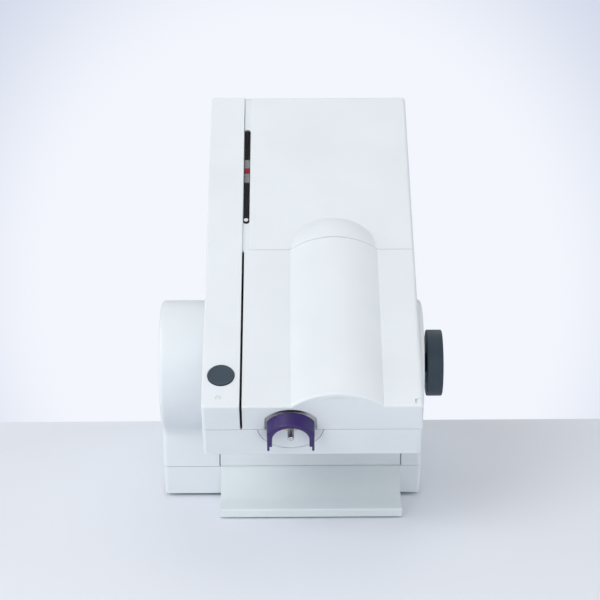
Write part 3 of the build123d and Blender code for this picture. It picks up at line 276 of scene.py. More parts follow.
def finish(slot):
    """The material of a slot, made once."""
    made = bpy.data.materials.get(f"{slot}_finish")
    if made:
        return made
    _, _, kind, rough = FINISHES[slot]
    colour = getattr(bpy.context.scene.mixer_colours, slot)
    mottle_scale, mottle, fine_scale, relief, stretch, rough_spread, metallic = SURFACES[kind]
    material = bpy.data.materials.new(f"{slot}_finish")
    tree, shader, add = nodes_of(material)
    place = add("ShaderNodeTexCoord")
    broad = noise(add, place, mottle_scale, 3.0)
    fine = noise(add, place, fine_scale, 2.0, stretch)
    low = [c * (1 - mottle) for c in colour]
    high = [min(c * (1 + mottle), 1) for c in colour]
    body = tinted(add, spread(add, broad, 0, 1), low, high)
    rubbed = noise(add, place, mottle_scale * 5, 4.0, (1, 1, 4))
    scuffs = add("ShaderNodeMapRange", Value=rubbed, From_Min=0.66, From_Max=0.80, To_Min=0, To_Max=0.25)
    worn = add("ShaderNodeMix", {"data_type": "RGBA"})
    tree.links.new(scuffs.outputs["Result"], worn.inputs["Factor"])
    tree.links.new(body.outputs["Result"], worn.inputs["A"])
    worn.inputs["B"].default_value = (*[c * 0.9 + 0.02 for c in colour], 1)
    tree.links.new(worn.outputs["Result"], shader.inputs["Base Color"])
    tree.links.new(
        spread(add, noise(add, place, mottle_scale * 3, 3.0), rough - rough_spread, rough + rough_spread),
        shader.inputs["Roughness"],
    )
    bump = add("ShaderNodeBump", Height=fine, Strength=0.35, Distance=relief * MM)
    tree.links.new(bump.outputs["Normal"], shader.inputs["Normal"])
    shader.inputs["Metallic"].default_value = metallic
    if kind == "moulded":
        shader.inputs["Specular IOR Level"].default_value = 0.35
    if kind == "clear":
        shader.inputs["Alpha"].default_value = 0.22
    if kind == "glossy":
        shader.inputs["Coat Weight"].default_value = 0.06
    return material


# ---------------------------------------------------------------- meshes


def merged(*names, whole=True):
    """A bmesh of CAD nodes with their loose triangles joined, and flat faces made whole where asked."""
    bm = bmesh.new()
    for name in names:
        bm.from_mesh(frame["nodes"][name].data)
    bmesh.ops.remove_doubles(bm, verts=bm.verts, dist=MERGE)
    if whole:
        bmesh.ops.dissolve_limit(bm, angle_limit=radians(0.25), verts=bm.verts, edges=bm.edges)
    return bm


def as_object(bm, name):
    """A new object in the scene from a bmesh, with smooth faces."""
    for face in bm.faces:
        face.smooth = True
    mesh = bpy.data.meshes.new(name)
    bm.to_mesh(mesh)
    bm.free()
    made = bpy.data.objects.new(name, mesh)
    bpy.context.scene.collection.objects.link(made)
    return made


def settle(made):
    """The object with its modifiers turned into its mesh."""
    bpy.context.view_layer.update()
    result = bpy.data.meshes.new_from_object(made.evaluated_get(bpy.context.evaluated_depsgraph_get()))
    made.modifiers.clear()
    made.data = result
    return made


def mark_edges(bm, widths):
    """Gives each convex sharp edge its bevel weight, from a function of its middle that returns a width."""
    weight = bm.edges.layers.float.new("bevel_weight_edge")
    widest = 0.0
    wanted = {}
    for edge in bm.edges:
        if len(edge.link_faces) == 2 and edge.is_convex and edge.calc_face_angle(0) > SHARP:
            wanted[edge] = widths((edge.verts[0].co + edge.verts[1].co) / 2)
            widest = max(widest, wanted[edge])
    for edge, width in wanted.items():
        edge[weight] = width / widest
    return widest


def place_piece(made, body, slot, *nodes):
    """Gives a finished object its material and its body, and hides the CAD nodes that it stands for."""
    made.data.materials.clear()
    made.data.materials.append(finish(slot))
    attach(made, body)
    if nodes:
        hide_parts(*nodes)
    return made


def rounded_copy(name, node, body, slot, widths, segments=3, whole=True):
    """A piece made from a CAD node with its convex edges rounded."""
    bm = merged(node, whole=whole)
    widest = mark_edges(bm, widths)
    made = as_object(bm, name)
    soften(made, widest, segments)
    even_out(made)
    settle(made)
    return place_piece(made, body, slot, node)


def lathe(bm, origin, axis, profile, facets=96):
    """Turns a profile of (radius, height) in millimetres about an axis, closed at both ends."""
    turn = Vector((0, 0, 1)).rotation_difference(axis).to_matrix()
    rings = []
    for radius, height in profile:
        out = radius * MM
        angles = [2 * pi * i / facets for i in range(facets if radius > POINTED else 1)]
        ring = [Vector((out * cos(angle), out * sin(angle), height * MM)) for angle in angles]
        rings.append([bm.verts.new(origin + turn @ place) for place in ring])
    for lower, upper in zip(rings, rings[1:]):
        for i in range(facets):
            j = (i + 1) % facets
            corners = [lower[i % len(lower)], lower[j % len(lower)], upper[j % len(upper)], upper[i % len(upper)]]
            unique = list(dict.fromkeys(corners))
            if len(unique) > 2:
                bm.faces.new(unique)
    for end in (rings[0], rings[-1]):
        if len(end) > 1:
            bm.faces.new(end)


def corner(radius, at_radius, at_height, start, steps=5):
    """Points of a quarter-round corner in a lathe profile, from the angle start, in quarter turns."""
    return [
        (
            at_radius + radius * cos(pi / 2 * (start + i / steps)),
            at_height + radius * sin(pi / 2 * (start + i / steps)),
        )
        for i in range(steps + 1)
    ]


def dome(radius, height, rise, steps=6):
    """Points of a dome or a dish in a lathe profile, from its rim to its middle."""
    turns = [pi / 2 * i / steps for i in range(1, steps + 1)]
    return [(radius * cos(turn), height + rise * sin(turn)) for turn in turns]


def turned_piece(name, origin, axis, profile, body, slot, *nodes, facets=96):
    """A piece turned from one profile."""
    bm = bmesh.new()
    lathe(bm, origin, axis, profile, facets)
    bmesh.ops.remove_doubles(bm, verts=bm.verts, dist=MERGE)
    bmesh.ops.recalc_face_normals(bm, faces=bm.faces)
    made = as_object(bm, name)
    even_out(made)
    settle(made)
    return place_piece(made, body, slot, *nodes)


def arc(centre, radius, start, stop, steps):
    """Points of an arc as (x, n), from the angle start to stop in radians."""
    return [
        (
            centre[0] + radius * cos(start + (stop - start) * i / steps),
            centre[1] + radius * sin(start + (stop - start) * i / steps),
        )
        for i in range(steps + 1)
    ]


def strip_between(bm, first, second, closed=False):
    """Quads between two rows of vertices of the same length."""
    count = len(first)
    for i in range(count if closed else count - 1):
        j = (i + 1) % count
        bm.faces.new((first[i], first[j], second[j], second[i]))


def weigh(bm, pairs, width, widest):
    """Gives the edges between neighbours in a row of vertices their bevel weight."""
    layer = bm.edges.layers.float.get("bevel_weight_edge") or bm.edges.layers.float.new("bevel_weight_edge")
    for first, second in zip(pairs, pairs[1:]):
        edge = bm.edges.get((first, second))
        edge[layer] = width / widest


def soften(made, width, segments=3):
    """Rounds the weighted edges of an object."""
    bevel = made.modifiers.new("Rounding", "BEVEL")
    bevel.limit_method = "WEIGHT"
    bevel.width = width
    bevel.segments = segments
    bevel.use_clamp_overlap = False
    bevel.miter_outer = "MITER_ARC"


def even_out(made):
    """Weighs the normals by face area, so that flats stay flat."""
    even = made.modifiers.new("Even shading", "WEIGHTED_NORMAL")
    even.keep_sharp = True


def cut(made, *cutters):
    """Takes closed cutter meshes out of an object."""
    tools = []
    for bm in cutters:
        bmesh.ops.recalc_face_normals(bm, faces=bm.faces)
        tool = as_object(bm, "cutter")
        tools.append(tool)
        carve = made.modifiers.new("Cut", "BOOLEAN")
        carve.object = tool
        carve.solver = "EXACT"
    settle(made)
    for tool in tools:
        bpy.data.objects.remove(tool)


def prism(outline, low, high):
    """A closed prism of an (x, n) outline between two places up the slope."""
    bm = bmesh.new()
    rows = [[bm.verts.new(on_head(x, s, n)) for x, n in outline] for s in (low, high)]
    strip_between(bm, *rows, closed=True)
    bm.faces.new(rows[0])
    bm.faces.new(rows[1])
    bmesh.ops.recalc_face_normals(bm, faces=bm.faces)
    return bm


def box_bm(x, s, n):
    """A closed block between pairs of limits in head places."""
    return prism([(x[0], n[0]), (x[1], n[0]), (x[1], n[1]), (x[0], n[1])], s[0], s[1])


# ---------------------------------------------------------------- operators


def sizes():
    """The scene's size settings."""
    return bpy.context.scene.mixer_sizes


class MIXER_OT_stage(bpy.types.Operator):
    """Lays the floor, hangs the lamps and sets the camera where the photograph was taken"""

    bl_idname = "mixer.stage"
    bl_label = "Stage"

    # The second colour is painted shade: the darker backdrop colour towards the far corners.
    PAPER, CORNERS, GLOW_FROM = (0.895, 0.920, 0.985), (0.620, 0.670, 0.810), 0.168
    # The photograph's frame in slopes from the camera: half its width, its middle and half its height.
    CAMERA_BACK, CAMERA_UP = 1.551, 0.668
    HALF_WIDTH, MIDDLE, HALF_HEIGHT = 0.150, 0.321, 0.166

    def execute(self, context):
        self.lay_floor(context)
        self.hang_lamps(context)
        self.set_camera(context)
        return {"FINISHED"}

    def lay_floor(self, context):
        reach = sizes().floor_reach
        bm = bmesh.new()
        corners = [(-reach, -reach), (reach, -reach), (reach, reach), (-reach, reach)]
        bm.faces.new([bm.verts.new((x, y, 0)) for x, y in corners])
        floor = as_object(bm, "floor")
        material = bpy.data.materials.new("floor_paper")
        tree, shader, add = nodes_of(material)
        place = add("ShaderNodeTexCoord").outputs["Object"]
        split = add("ShaderNodeSeparateXYZ", Vector=place)
        shader.inputs["Base Color"].default_value = (0.80, 0.83, 0.89, 1)
        shader.inputs["Roughness"].default_value = 0.9
        shader.inputs["Specular IOR Level"].default_value = 0.1
        glow = add("ShaderNodeEmission", Strength=1.0)
        tree.links.new(self.backdrop_colour(add, split), glow.inputs["Color"])
        behind = reckon(add, "GREATER_THAN", split.outputs["Y"], self.GLOW_FROM)
        rays = add("ShaderNodeLightPath").outputs
        seen = reckon(add, "MAXIMUM", rays["Is Camera Ray"], rays["Is Glossy Ray"])
        blend = add("ShaderNodeMixShader", Fac=reckon(add, "MULTIPLY", seen, behind))
        tree.links.new(shader.outputs["BSDF"], blend.inputs[1])
        tree.links.new(glow.outputs["Emission"], blend.inputs[2])
        tree.links.new(blend.outputs["Shader"], tree.nodes["Material Output"].inputs["Surface"])
        floor.data.materials.append(material)

    def backdrop_colour(self, add, split):
        """The backdrop's colour, with painted shade that darkens it towards the far corners of the paper."""
        away = reckon(add, "ADD", split.outputs["Y"], self.CAMERA_BACK)
        sideways = reckon(add, "DIVIDE", reckon(add, "DIVIDE", split.outputs["X"], away), self.HALF_WIDTH)
        below = reckon(add, "SUBTRACT", reckon(add, "DIVIDE", self.CAMERA_UP, away), self.MIDDLE)
        height = reckon(add, "DIVIDE", below, self.HALF_HEIGHT)
        squares = [reckon(add, "POWER", reckon(add, "ABSOLUTE", value), 2) for value in (sideways, height)]
        # Mask of the painted shade, darker towards the backdrop's far corners.
        painted_shade = add(
            "ShaderNodeMapRange",
            {"interpolation_type": "SMOOTHSTEP"},
            Value=reckon(add, "SQRT", reckon(add, "ADD", *squares)),
            From_Min=0.85,
            From_Max=1.55,
        )
        return tinted(add, painted_shade.outputs["Result"], self.PAPER, self.CORNERS).outputs["Result"]

    def hang_lamps(self, context):
        world = bpy.data.worlds.new("studio")
        world.use_nodes = True
        world.node_tree.nodes["Background"].inputs["Color"].default_value = (0.97, 0.985, 1.0, 1)
        world.node_tree.nodes["Background"].inputs["Strength"].default_value = WORLD_LIGHT
        context.scene.world = world
        for name, place, size, power in LAMPS:
            lamp = bpy.data.lights.new(name, "AREA")
            lamp.size = size
            lamp.energy = power
            hung = bpy.data.objects.new(name, lamp)
            hung.location = place
            hung.rotation_euler = (Vector((0, 0, 0.12)) - Vector(place)).to_track_quat("-Z", "Y").to_euler()
            context.scene.collection.objects.link(hung)

    def set_camera(self, context):
        settings = sizes()
        pitch, yaw, roll = settings.camera_turn
        ahead = Vector((-sin(yaw) * cos(pitch), cos(yaw) * cos(pitch), -sin(pitch)))
        right = Vector((cos(yaw), sin(yaw), 0))
        up = right.cross(ahead)
        across = right * cos(roll) + up * sin(roll)
        upward = up * cos(roll) - right * sin(roll)
        lens = bpy.data.cameras.new("camera")
        lens.sensor_width = 36
        lens.lens = settings.lens
        camera = bpy.data.objects.new("camera", lens)
        turn = Matrix((across, upward, -ahead)).transposed().to_4x4()
        camera.matrix_world = Matrix.Translation(settings.camera_place) @ turn
        context.scene.collection.objects.link(camera)
        context.scene.camera = camera
        context.scene.view_settings.view_transform = "Standard"


class MIXER_OT_finishes(bpy.types.Operator):
    """Gives every CAD node the procedural material of its slot"""

    bl_idname = "mixer.finishes"
    bl_label = "Finishes"

    def execute(self, context):
        for part in frame["record"]["subparts"]:
            node = frame["nodes"][part["node"]]
            node.data.materials.clear()
            node.data.materials.append(finish(part["material_slot"]))
        return {"FINISHED"}


class MIXER_OT_head_shells(bpy.types.Operator):
    """Makes the head's tray, control strip and rear cover with rounded edges"""

    bl_idname = "mixer.head_shells"
    bl_label = "Head shells"

    def execute(self, context):
        settings = sizes()

        def strip_edge(middle):
            _, s, n = in_head(middle)
            return settings.front_edge if s < 0.5 and n > -0.5 else settings.edge

        def plain_edge(middle):
            return settings.edge

        rounded_copy("tray_shell", "head_tray", "housing", "white_shell", plain_edge)
        rounded_copy("strip_shell", "control_strip", "housing", "white_shell", strip_edge, 4)
        rounded_copy("rear_shell", "rear_cover", "housing", "white_shell", plain_edge, whole=False)
        return {"FINISHED"}


class MIXER_OT_cover(bpy.types.Operator):
    """Makes the cartridge cover with its bulge, its finger scoop and the cut-out round the lever"""

    bl_idname = "mixer.cover"
    bl_label = "Cartridge cover"

    LEFT, RIGHT, BACK, WALL, FOOT = 30.3, 166.0, 161.4, 3.0, -27.0
    BULGE, BULGE_RADIUS = (101.7, -34.39), 48.89
    BARREL, BARREL_RADIUS = (163.0, -3.0), 3.0
    RIB, RIB_DROP = 2.0, -8.0
    LEVER_X, CUT_HALF, CUT_RADIUS, CUT_TOP = 66.7, 19.5, 23.7, -3.6

    def execute(self, context):
        settings = sizes()
        front = settings.front_edge / MM
        steps = 6
        bm = bmesh.new()
        rows = []
        for i in range(steps + 1):
            turn = pi / 2 * i / steps
            inset = front * (1 - sin(turn))
            rows.append([bm.verts.new(on_head(x, front * (1 - cos(turn)), n)) for x, n in self.top_line(inset)])
        behind = [bm.verts.new(on_head(x, self.WALL, n)) for x, n in self.top_line(0)]
        end = [bm.verts.new(on_head(x, self.BACK, n)) for x, n in self.top_line(0)]
        lines = rows + [behind, end]
        for lower, upper in zip(lines, lines[1:]):
            strip_between(bm, lower, upper)
        foot_front = [bm.verts.new(on_head(x, 0, n)) for x, n in self.lower_line()]
        foot_back = [bm.verts.new(on_head(x, self.WALL, n)) for x, n in self.lower_line()]
        strip_between(bm, foot_front, foot_back)
        bm.faces.new(rows[0] + foot_front[::-1])
        shell = self.shell_line()
        shell_front = [bm.verts.new(on_head(x, self.WALL, n)) for x, n in shell]
        shell_end = [bm.verts.new(on_head(x, self.BACK, n)) for x, n in shell]
        strip_between(bm, shell_front, shell_end)
        left_top = [row[0] for row in rows]
        bm.faces.new(left_top + [behind[0], shell_front[0], foot_back[0], foot_front[0]])
        bm.faces.new((behind[0], end[0], shell_end[0], shell_front[0]))
        right_top = [row[-1] for row in rows]
        bm.faces.new(right_top + [behind[-1], foot_back[-1], foot_front[-1]])
        bm.faces.new((behind[-1], shell_front[-1], shell_end[-1], end[-1]))
        bm.faces.new(foot_back + [behind[-1]] + shell_front[::-1])
        bm.faces.new(end + shell_end[::-1])
        bmesh.ops.remove_doubles(bm, verts=bm.verts, dist=MERGE)
        bmesh.ops.recalc_face_normals(bm, faces=bm.faces)
        edge = settings.edge
        alive = [vert for vert in foot_front if vert.is_valid]
        weigh(bm, alive, edge, edge)
        made = as_object(bm, "cover_shell")
        soften(made, edge, 3)
        settle(made)
        cut(made, self.scoop(), self.ear_notch())
        made.data.polygons.foreach_set("use_smooth", [True] * len(made.data.polygons))
        bm = bmesh.new()
        bm.from_mesh(made.data)
        for side in bm.edges:
            side.smooth = len(side.link_faces) == 2 and side.calc_face_angle(0) < SHARP
        bm.to_mesh(made.data)
        bm.free()
        even_out(made)
        settle(made)
        place_piece(made, "cover", "white_shell", "cartridge_cover")
        return {"FINISHED"}

    def top_line(self, inset):
        """The cover's top from left to right as (x, n), set in by a rounding."""
        x, n = self.BULGE
        radius = self.BULGE_RADIUS - inset
        half = sqrt(radius**2 - (n + inset) ** 2)
        start = atan2(-inset - n, -half)
        line = [(self.LEFT, -inset)]
        line += arc(self.BULGE, radius, start, pi - start, 64)
        line += arc(self.BARREL, self.BARREL_RADIUS - inset, pi / 2, 0, 8)
        return line

    def lower_line(self):
        """The front wall's sides and foot from left to right as (x, n), with the cut-out."""
        centre = (self.LEVER_X, self.CUT_TOP - self.CUT_RADIUS)
        start = pi - acos(self.CUT_HALF / self.CUT_RADIUS)
        line = [(self.LEFT, self.RIB_DROP), (self.LEFT, self.FOOT), (self.LEVER_X - self.CUT_HALF, self.FOOT)]
        line += arc(centre, self.CUT_RADIUS, start, pi - start, 40)
        line += [(self.LEVER_X + self.CUT_HALF, self.FOOT), (self.RIGHT, self.FOOT)]
        return line

    def shell_line(self):
        """The underside of the cover's top from left to right as (x, n)."""
        x, n = self.BULGE
        radius = self.BULGE_RADIUS - self.WALL
        start = atan2(-self.WALL - n, -sqrt(radius**2 - (n + self.WALL) ** 2))
        inner = self.LEFT + self.RIB
        line = [(self.LEFT, self.RIB_DROP), (inner, self.RIB_DROP), (inner, -self.WALL)]
        line += arc(self.BULGE, radius, start, pi - start, 48)
        line += arc(self.BARREL, self.BARREL_RADIUS, pi, 2 * pi, 12)[:-1]
        return line

    def scoop(self):
        """The hollow in the bulge's front that a finger lifts the cover by."""
        half, low, high, sink = 14.8, 6.0, 10.6, 2.3
        rise = high - low
        radius = (half**2 + rise**2) / (2 * rise)
        spread_angle = asin(half / radius)
        rim = arc((self.BULGE[0], high - radius), radius, pi / 2 + spread_angle, pi / 2 - spread_angle, 32)
        bm = bmesh.new()
        ahead = [bm.verts.new(on_head(x, -1, n)) for x, n in rim]
        deep = [bm.verts.new(on_head(x, (n - low) / rise * sink, n)) for x, n in rim]
        strip_between(bm, ahead, deep, closed=True)
        bm.faces.new(ahead)
        bm.faces.new(deep)
        return bm

    def ear_notch(self):
        """The gap in the barrel for the hinge's front ear."""
        return box_bm((159.9, 167.0), (3.2, 7.4), (-6.3, 1.0))


class MIXER_OT_base_shells(bpy.types.Operator):
    """Makes the base pan, cheeks, column, rear panel and foot plate with rounded edges"""

    bl_idname = "mixer.base_shells"
    bl_label = "Base shells"

    def execute(self, context):
        edge = sizes().edge

        def plain_edge(middle):
            return edge

        for name, node, slot in (
            ("pan_shell", "base_pan", "white_shell"),
            ("left_cheek_shell", "left_cheek", "white_shell"),
            ("right_cheek_shell", "right_cheek", "white_shell"),
            ("column_shell", "centre_column", "white_shell"),
            ("panel_shell", "rear_panel", "white_shell"),
            ("foot_plate_shell", "front_foot_plate", "foot_shell"),
        ):
            rounded_copy(name, node, "housing", slot, plain_edge)
        return {"FINISHED"}


class MIXER_OT_lever(bpy.types.Operator):
    """Makes the locking lever and the seat plate behind it"""

    bl_idname = "mixer.lever"
    bl_label = "Lever and seat"

    MIDDLE, HUB = 66.7, -24.8
    OUTER, INNER, CROWN_RADIUS = 17.9, 14.0, 20.3
    LEG_FOOT, TAB_FOOT, TAB = -33.1, -38.0, 1.9
    NEAR, FAR, NOSE_CROWN, BACK_CROWN = -12.1, -0.9, -8.5, -5.3

    def execute(self, context):
        settings = sizes()
        bm = bmesh.new()
        self.shape(bm, settings.lever_edge / MM)
        made = as_object(bm, "lever_moulding")
        soften(made, settings.lever_nose, 5)
        even_out(made)
        settle(made)
        place_piece(made, "lever", "purple_plastic", "locking_lever")
        fine = settings.fine_edge
        seat = rounded_copy("seat_moulding", "tip_seat_plate", "housing", "white_shell", lambda middle: fine)
        tongue = box_bm((self.MIDDLE - 4.2, self.MIDDLE + 4.2), (-6.0, 3.2), (-13.0, -6.5))
        shade = box_bm((self.MIDDLE - 16.5, self.MIDDLE + 16.5), (3.0, 9.0), (-13.5, -5.0))
        cut(seat, tongue, shade)
        even_out(seat)
        settle(seat)
        return {"FINISHED"}

    def face(self, crown):
        """The lever's outer and inner outlines as (x, n), with the top of its arch at n = crown."""
        shoulder = asin(self.OUTER / self.CROWN_RADIUS)
        centre = (self.MIDDLE, crown - self.CROWN_RADIUS)
        tab = self.OUTER - self.TAB
        outside = [(self.MIDDLE - self.OUTER, self.TAB_FOOT)]
        outside += arc(centre, self.CROWN_RADIUS, pi / 2 + shoulder, pi / 2 - shoulder, 40)
        outside += [(self.MIDDLE + self.OUTER, self.TAB_FOOT)]
        inside = [(self.MIDDLE + tab, self.TAB_FOOT), (self.MIDDLE + tab, self.LEG_FOOT)]
        inside += [(self.MIDDLE + self.INNER, self.LEG_FOOT)]
        inside += arc((self.MIDDLE, self.HUB), self.INNER, 0, pi, 40)
        inside += [(self.MIDDLE - self.INNER, self.LEG_FOOT), (self.MIDDLE - tab, self.LEG_FOOT)]
        inside += [(self.MIDDLE - tab, self.TAB_FOOT)]
        return outside, inside

    def shape(self, bm, edge):
        nose = sizes().lever_nose / MM
        rows = []
        for s, crown in ((self.NEAR, self.NOSE_CROWN), (self.FAR, self.BACK_CROWN)):
            outside, inside = self.face(crown)
            rows.append(
                (
                    [bm.verts.new(on_head(x, s, n)) for x, n in outside],
                    [bm.verts.new(on_head(x, s, n)) for x, n in inside],
                )
            )
        (near_out, near_in), (far_out, far_in) = rows
        strip_between(bm, near_out + near_in, far_out + far_in, closed=True)
        for out, within in ((near_out, near_in), (far_out, far_in)):
            self.cap(bm, out, within)
        weigh(bm, near_out, nose, nose)
        weigh(bm, near_in + near_out[:1], edge, nose)
        weigh(bm, [near_out[-1], near_in[0]], edge, nose)
        weigh(bm, far_out, edge, nose)
        weigh(bm, far_in, edge, nose)
        bmesh.ops.recalc_face_normals(bm, faces=bm.faces)

    def cap(self, bm, out, within):
        """The lever's flat face between its outer line and its inner one, in quads and two feet."""
        arch = within[3:-3]
        bm.faces.new([out[-1], within[0], within[1], within[2], arch[0], out[-2]])
        bm.faces.new([out[0], out[1], arch[-1], within[-3], within[-2], within[-1]])
        crown = out[1:-1]
        for i in range(len(crown) - 1):
            bm.faces.new((crown[i], crown[i + 1], arch[len(arch) - 2 - i], arch[len(arch) - 1 - i]))


def islands(node):
    """The points of each separate solid of a CAD node."""
    bm = merged(node)
    left = set(bm.verts)
    groups = []
    while left:
        queue = [left.pop()]
        group = []
        while queue:
            vert = queue.pop()
            group.append(vert.co.copy())
            for edge in vert.link_edges:
                other = edge.other_vert(vert)
                if other in left:
                    left.remove(other)
                    queue.append(other)
        groups.append(group)
    bm.free()
    return groups


def tops(node, axis):
    """The middle of each solid's far end along an axis."""
    places = []
    for group in islands(node):
        reach = max(point.dot(axis) for point in group)
        end = [point for point in group if point.dot(axis) > reach - 0.05 * MM]
        places.append(sum(end, Vector()) / len(end))
    return places


def point_tree(name, numbers, make):
    """A Geometry Nodes tree that sets a small part, built by make, on every point."""
    tree = bpy.data.node_groups.new(name, "GeometryNodeTree")
    face = tree.interface
    face.new_socket("Points", in_out="INPUT", socket_type="NodeSocketGeometry")
    for label, millimetres in numbers.items():
        socket = face.new_socket(label, in_out="INPUT", socket_type="NodeSocketFloat")
        socket.default_value = millimetres * MM
    face.new_socket("Turn", in_out="INPUT", socket_type="NodeSocketVector")
    face.new_socket("Finish", in_out="INPUT", socket_type="NodeSocketMaterial")
    face.new_socket("Parts", in_out="OUTPUT", socket_type="NodeSocketGeometry")
    add = adder(tree)
    given = add("NodeGroupInput").outputs
    part = make(add, given)
    set_out = add("GeometryNodeInstanceOnPoints", Points=given["Points"], Instance=part, Rotation=given["Turn"])
    real = add("GeometryNodeRealizeInstances", Geometry=set_out.outputs[0])
    dressed = add("GeometryNodeSetMaterial", Geometry=real.outputs[0], Material=given["Finish"])
    add("NodeGroupOutput", Parts=dressed.outputs[0])
    return tree


def times(add, value, factor):
    """A value times a number, as a node."""
    return reckon(add, "MULTIPLY", value, factor)


def plus(add, first, second):
    """The sum of two values, as a node."""
    return reckon(add, "ADD", first, second)


def cone_at(add, low, high, height, base, facets=36):
    """A truncated cone along Z with its foot at the height base."""
    cone = add("GeometryNodeMeshCone", Vertices=facets, Radius_Bottom=low, Radius_Top=high, Depth=height)
    lift = add("ShaderNodeCombineXYZ", Z=base)
    return add("GeometryNodeTransform", Geometry=cone.outputs["Mesh"], Translation=lift.outputs[0]).outputs[0]


def screw(add, given):
    """A pan-head screw with a cross recess, its head's top at the origin."""
    radius, height = given["Head radius"], given["Head height"]
    top = cone_at(add, radius, times(add, radius, 0.74), times(add, height, 0.5), times(add, height, -0.5))
    recess = []
    for turn in (0, pi / 2):
        size = add(
            "ShaderNodeCombineXYZ",
            X=given["Recess width"],
            Y=times(add, radius, 1.1),
            Z=times(add, given["Recess depth"], 2),
        )
        block = add("GeometryNodeMeshCube", Size=size.outputs[0])
        recess.append(
            add("GeometryNodeTransform", Geometry=block.outputs["Mesh"], Rotation=(0, 0, turn)).outputs[0]
        )
    carved = add("GeometryNodeMeshBoolean", {"operation": "DIFFERENCE", "solver": "EXACT"})
    carved.id_data.links.new(top, carved.inputs["Mesh 1"])
    for block in recess:
        carved.id_data.links.new(block, carved.inputs["Mesh 2"])
    under = cone_at(add, radius, radius, times(add, height, 0.5), times(add, height, -1))
    shank_base = times(add, plus(add, height, given["Shank length"]), -1)
    shank = cone_at(add, given["Shank radius"], given["Shank radius"], given["Shank length"], shank_base, 24)
    joined = add("GeometryNodeJoinGeometry")
    for solid in (carved.outputs["Mesh"], under, shank):
        joined.id_data.links.new(solid, joined.inputs[0])
    return joined.outputs[0]


def foot(add, given):
    """A round rubber foot with a bevelled sole, its sole at the origin."""
    radius, bevel = given["Radius"], given["Bevel"]
    slim = plus(add, radius, times(add, bevel, -1))
    sole = cone_at(add, slim, radius, bevel, 0.0, 48)
    rest = plus(add, given["Height"], times(add, bevel, -1))
    body = cone_at(add, radius, radius, rest, bevel, 48)
    joined = add("GeometryNodeJoinGeometry")
    for solid in (sole, body):
        joined.id_data.links.new(solid, joined.inputs[0])
    return joined.outputs[0]


def set_out(name, tree, places, axis, slot, numbers):
    """An object with the tree's part on each of a list of places."""
    mesh = bpy.data.meshes.new(name)
    mesh.from_pydata(places, [], [])
    made = bpy.data.objects.new(name, mesh)
    bpy.context.scene.collection.objects.link(made)
    spread_out = made.modifiers.new("Set out", "NODES")
    spread_out.node_group = tree
    values = {label: millimetres * MM for label, millimetres in numbers.items()}
    values["Turn"] = tuple(Vector((0, 0, 1)).rotation_difference(axis).to_euler())
    values["Finish"] = finish(slot)
    for item in tree.interface.items_tree:
        if item.in_out == "INPUT" and item.name in values:
            spread_out[item.identifier] = values[item.name]
    return settle(made)


class MIXER_OT_fasteners(bpy.types.Operator):
    """Sets out the screws with their cross recesses and the rubber feet"""

    bl_idname = "mixer.fasteners"
    bl_label = "Screws and feet"

    def execute(self, context):
        settings = sizes()
        numbers = {
            "Head radius": 3.6,
            "Head height": 2.0,
            "Shank radius": 2.0,
            "Shank length": 9.0,
            "Recess width": settings.recess_width / MM,
            "Recess depth": settings.recess_depth / MM,
        }
        tree = point_tree("screws", numbers, screw)
        for node, axis in (
            ("tray_screws", -OFF_SLOPE),
            ("base_screws", Vector((0, 0, -1))),
            ("panel_screws", Vector((0, 1, 0))),
        ):
            heads = set_out(f"{node}_heads", tree, tops(node, axis), axis, "shaft_steel", numbers)
            place_piece(heads, "housing", "shaft_steel", node)
        self.lay_feet()
        return {"FINISHED"}

    def lay_feet(self):
        bm = bmesh.new()
        for group in islands("rubber_feet"):
            low = min(point.x for point in group)
            high = max(point.x for point in group)
            middle = Vector(((low + high) / 2, sum(point.y for point in group) / len(group), 0))
            base = min(point.z for point in group)
            top = max(point.z for point in group)
            radius = (high - low) / 2 / MM
            numbers = {"Radius": radius, "Height": (top - base) / MM, "Bevel": 0.6}
            tree = point_tree("foot", numbers, foot)
            middle.z = base
            made = set_out("foot", tree, [middle], Vector((0, 0, 1)), "foot_rubber", numbers)
            bm.from_mesh(made.data)
            bpy.data.objects.remove(made)
        feet = as_object(bm, "feet")
        even_out(feet)
        settle(feet)
        place_piece(feet, "housing", "foot_rubber", "rubber_feet")


class MIXER_OT_gauge(bpy.types.Operator):
    """Makes the level gauge's window and the round peg at its lower end"""

    bl_idname = "mixer.gauge"
    bl_label = "Level gauge"

    MIDDLE, START, LENGTH, WIDTH, TOP, THICK = 31.3, 193.0, 111.0, 5.4, -2.0, 1.2

    def execute(self, context):
        half = self.WIDTH / 2
        ends = (self.START + half, self.START + self.LENGTH - half)
        outline = []
        for end, start in ((ends[0], pi), (ends[1], 0)):
            outline += [
                (self.MIDDLE + half * cos(start + pi * i / 16), end + half * sin(start + pi * i / 16))
                for i in range(17)
            ]
        bm = bmesh.new()
        rows = []
        for inset, n in ((0, self.TOP - self.THICK), (0, self.TOP - 0.3), (0.3, self.TOP), (1.2, self.TOP)):
            scale = (half - inset) / half
            row = []
            for x, s in outline:
                near = ends[0] if s < sum(ends) / 2 else ends[1]
                across, along = self.MIDDLE + (x - self.MIDDLE) * scale, near + (s - near) * scale
                row.append(bm.verts.new(on_head(across, along, n)))
            rows.append(row)
        for lower, upper in zip(rows, rows[1:]):
            strip_between(bm, lower, upper, closed=True)
        bm.faces.new(rows[0])
        bm.faces.new(rows[-1])
        bmesh.ops.recalc_face_normals(bm, faces=bm.faces)
        window = as_object(bm, "window_pane")
        even_out(window)
        settle(window)
        place_piece(window, "housing", "window_clear", "level_window")
        peg = [(0, -1.95), (1.7, -1.95), (1.7, -1.2), *dome(1.7, -1.2, 0.5)]
        place = on_head(self.MIDDLE, self.START + 3.6, 0)
        turned_piece("gauge_peg", place, OFF_SLOPE, peg, "housing", "light_lens")
        return {"FINISHED"}


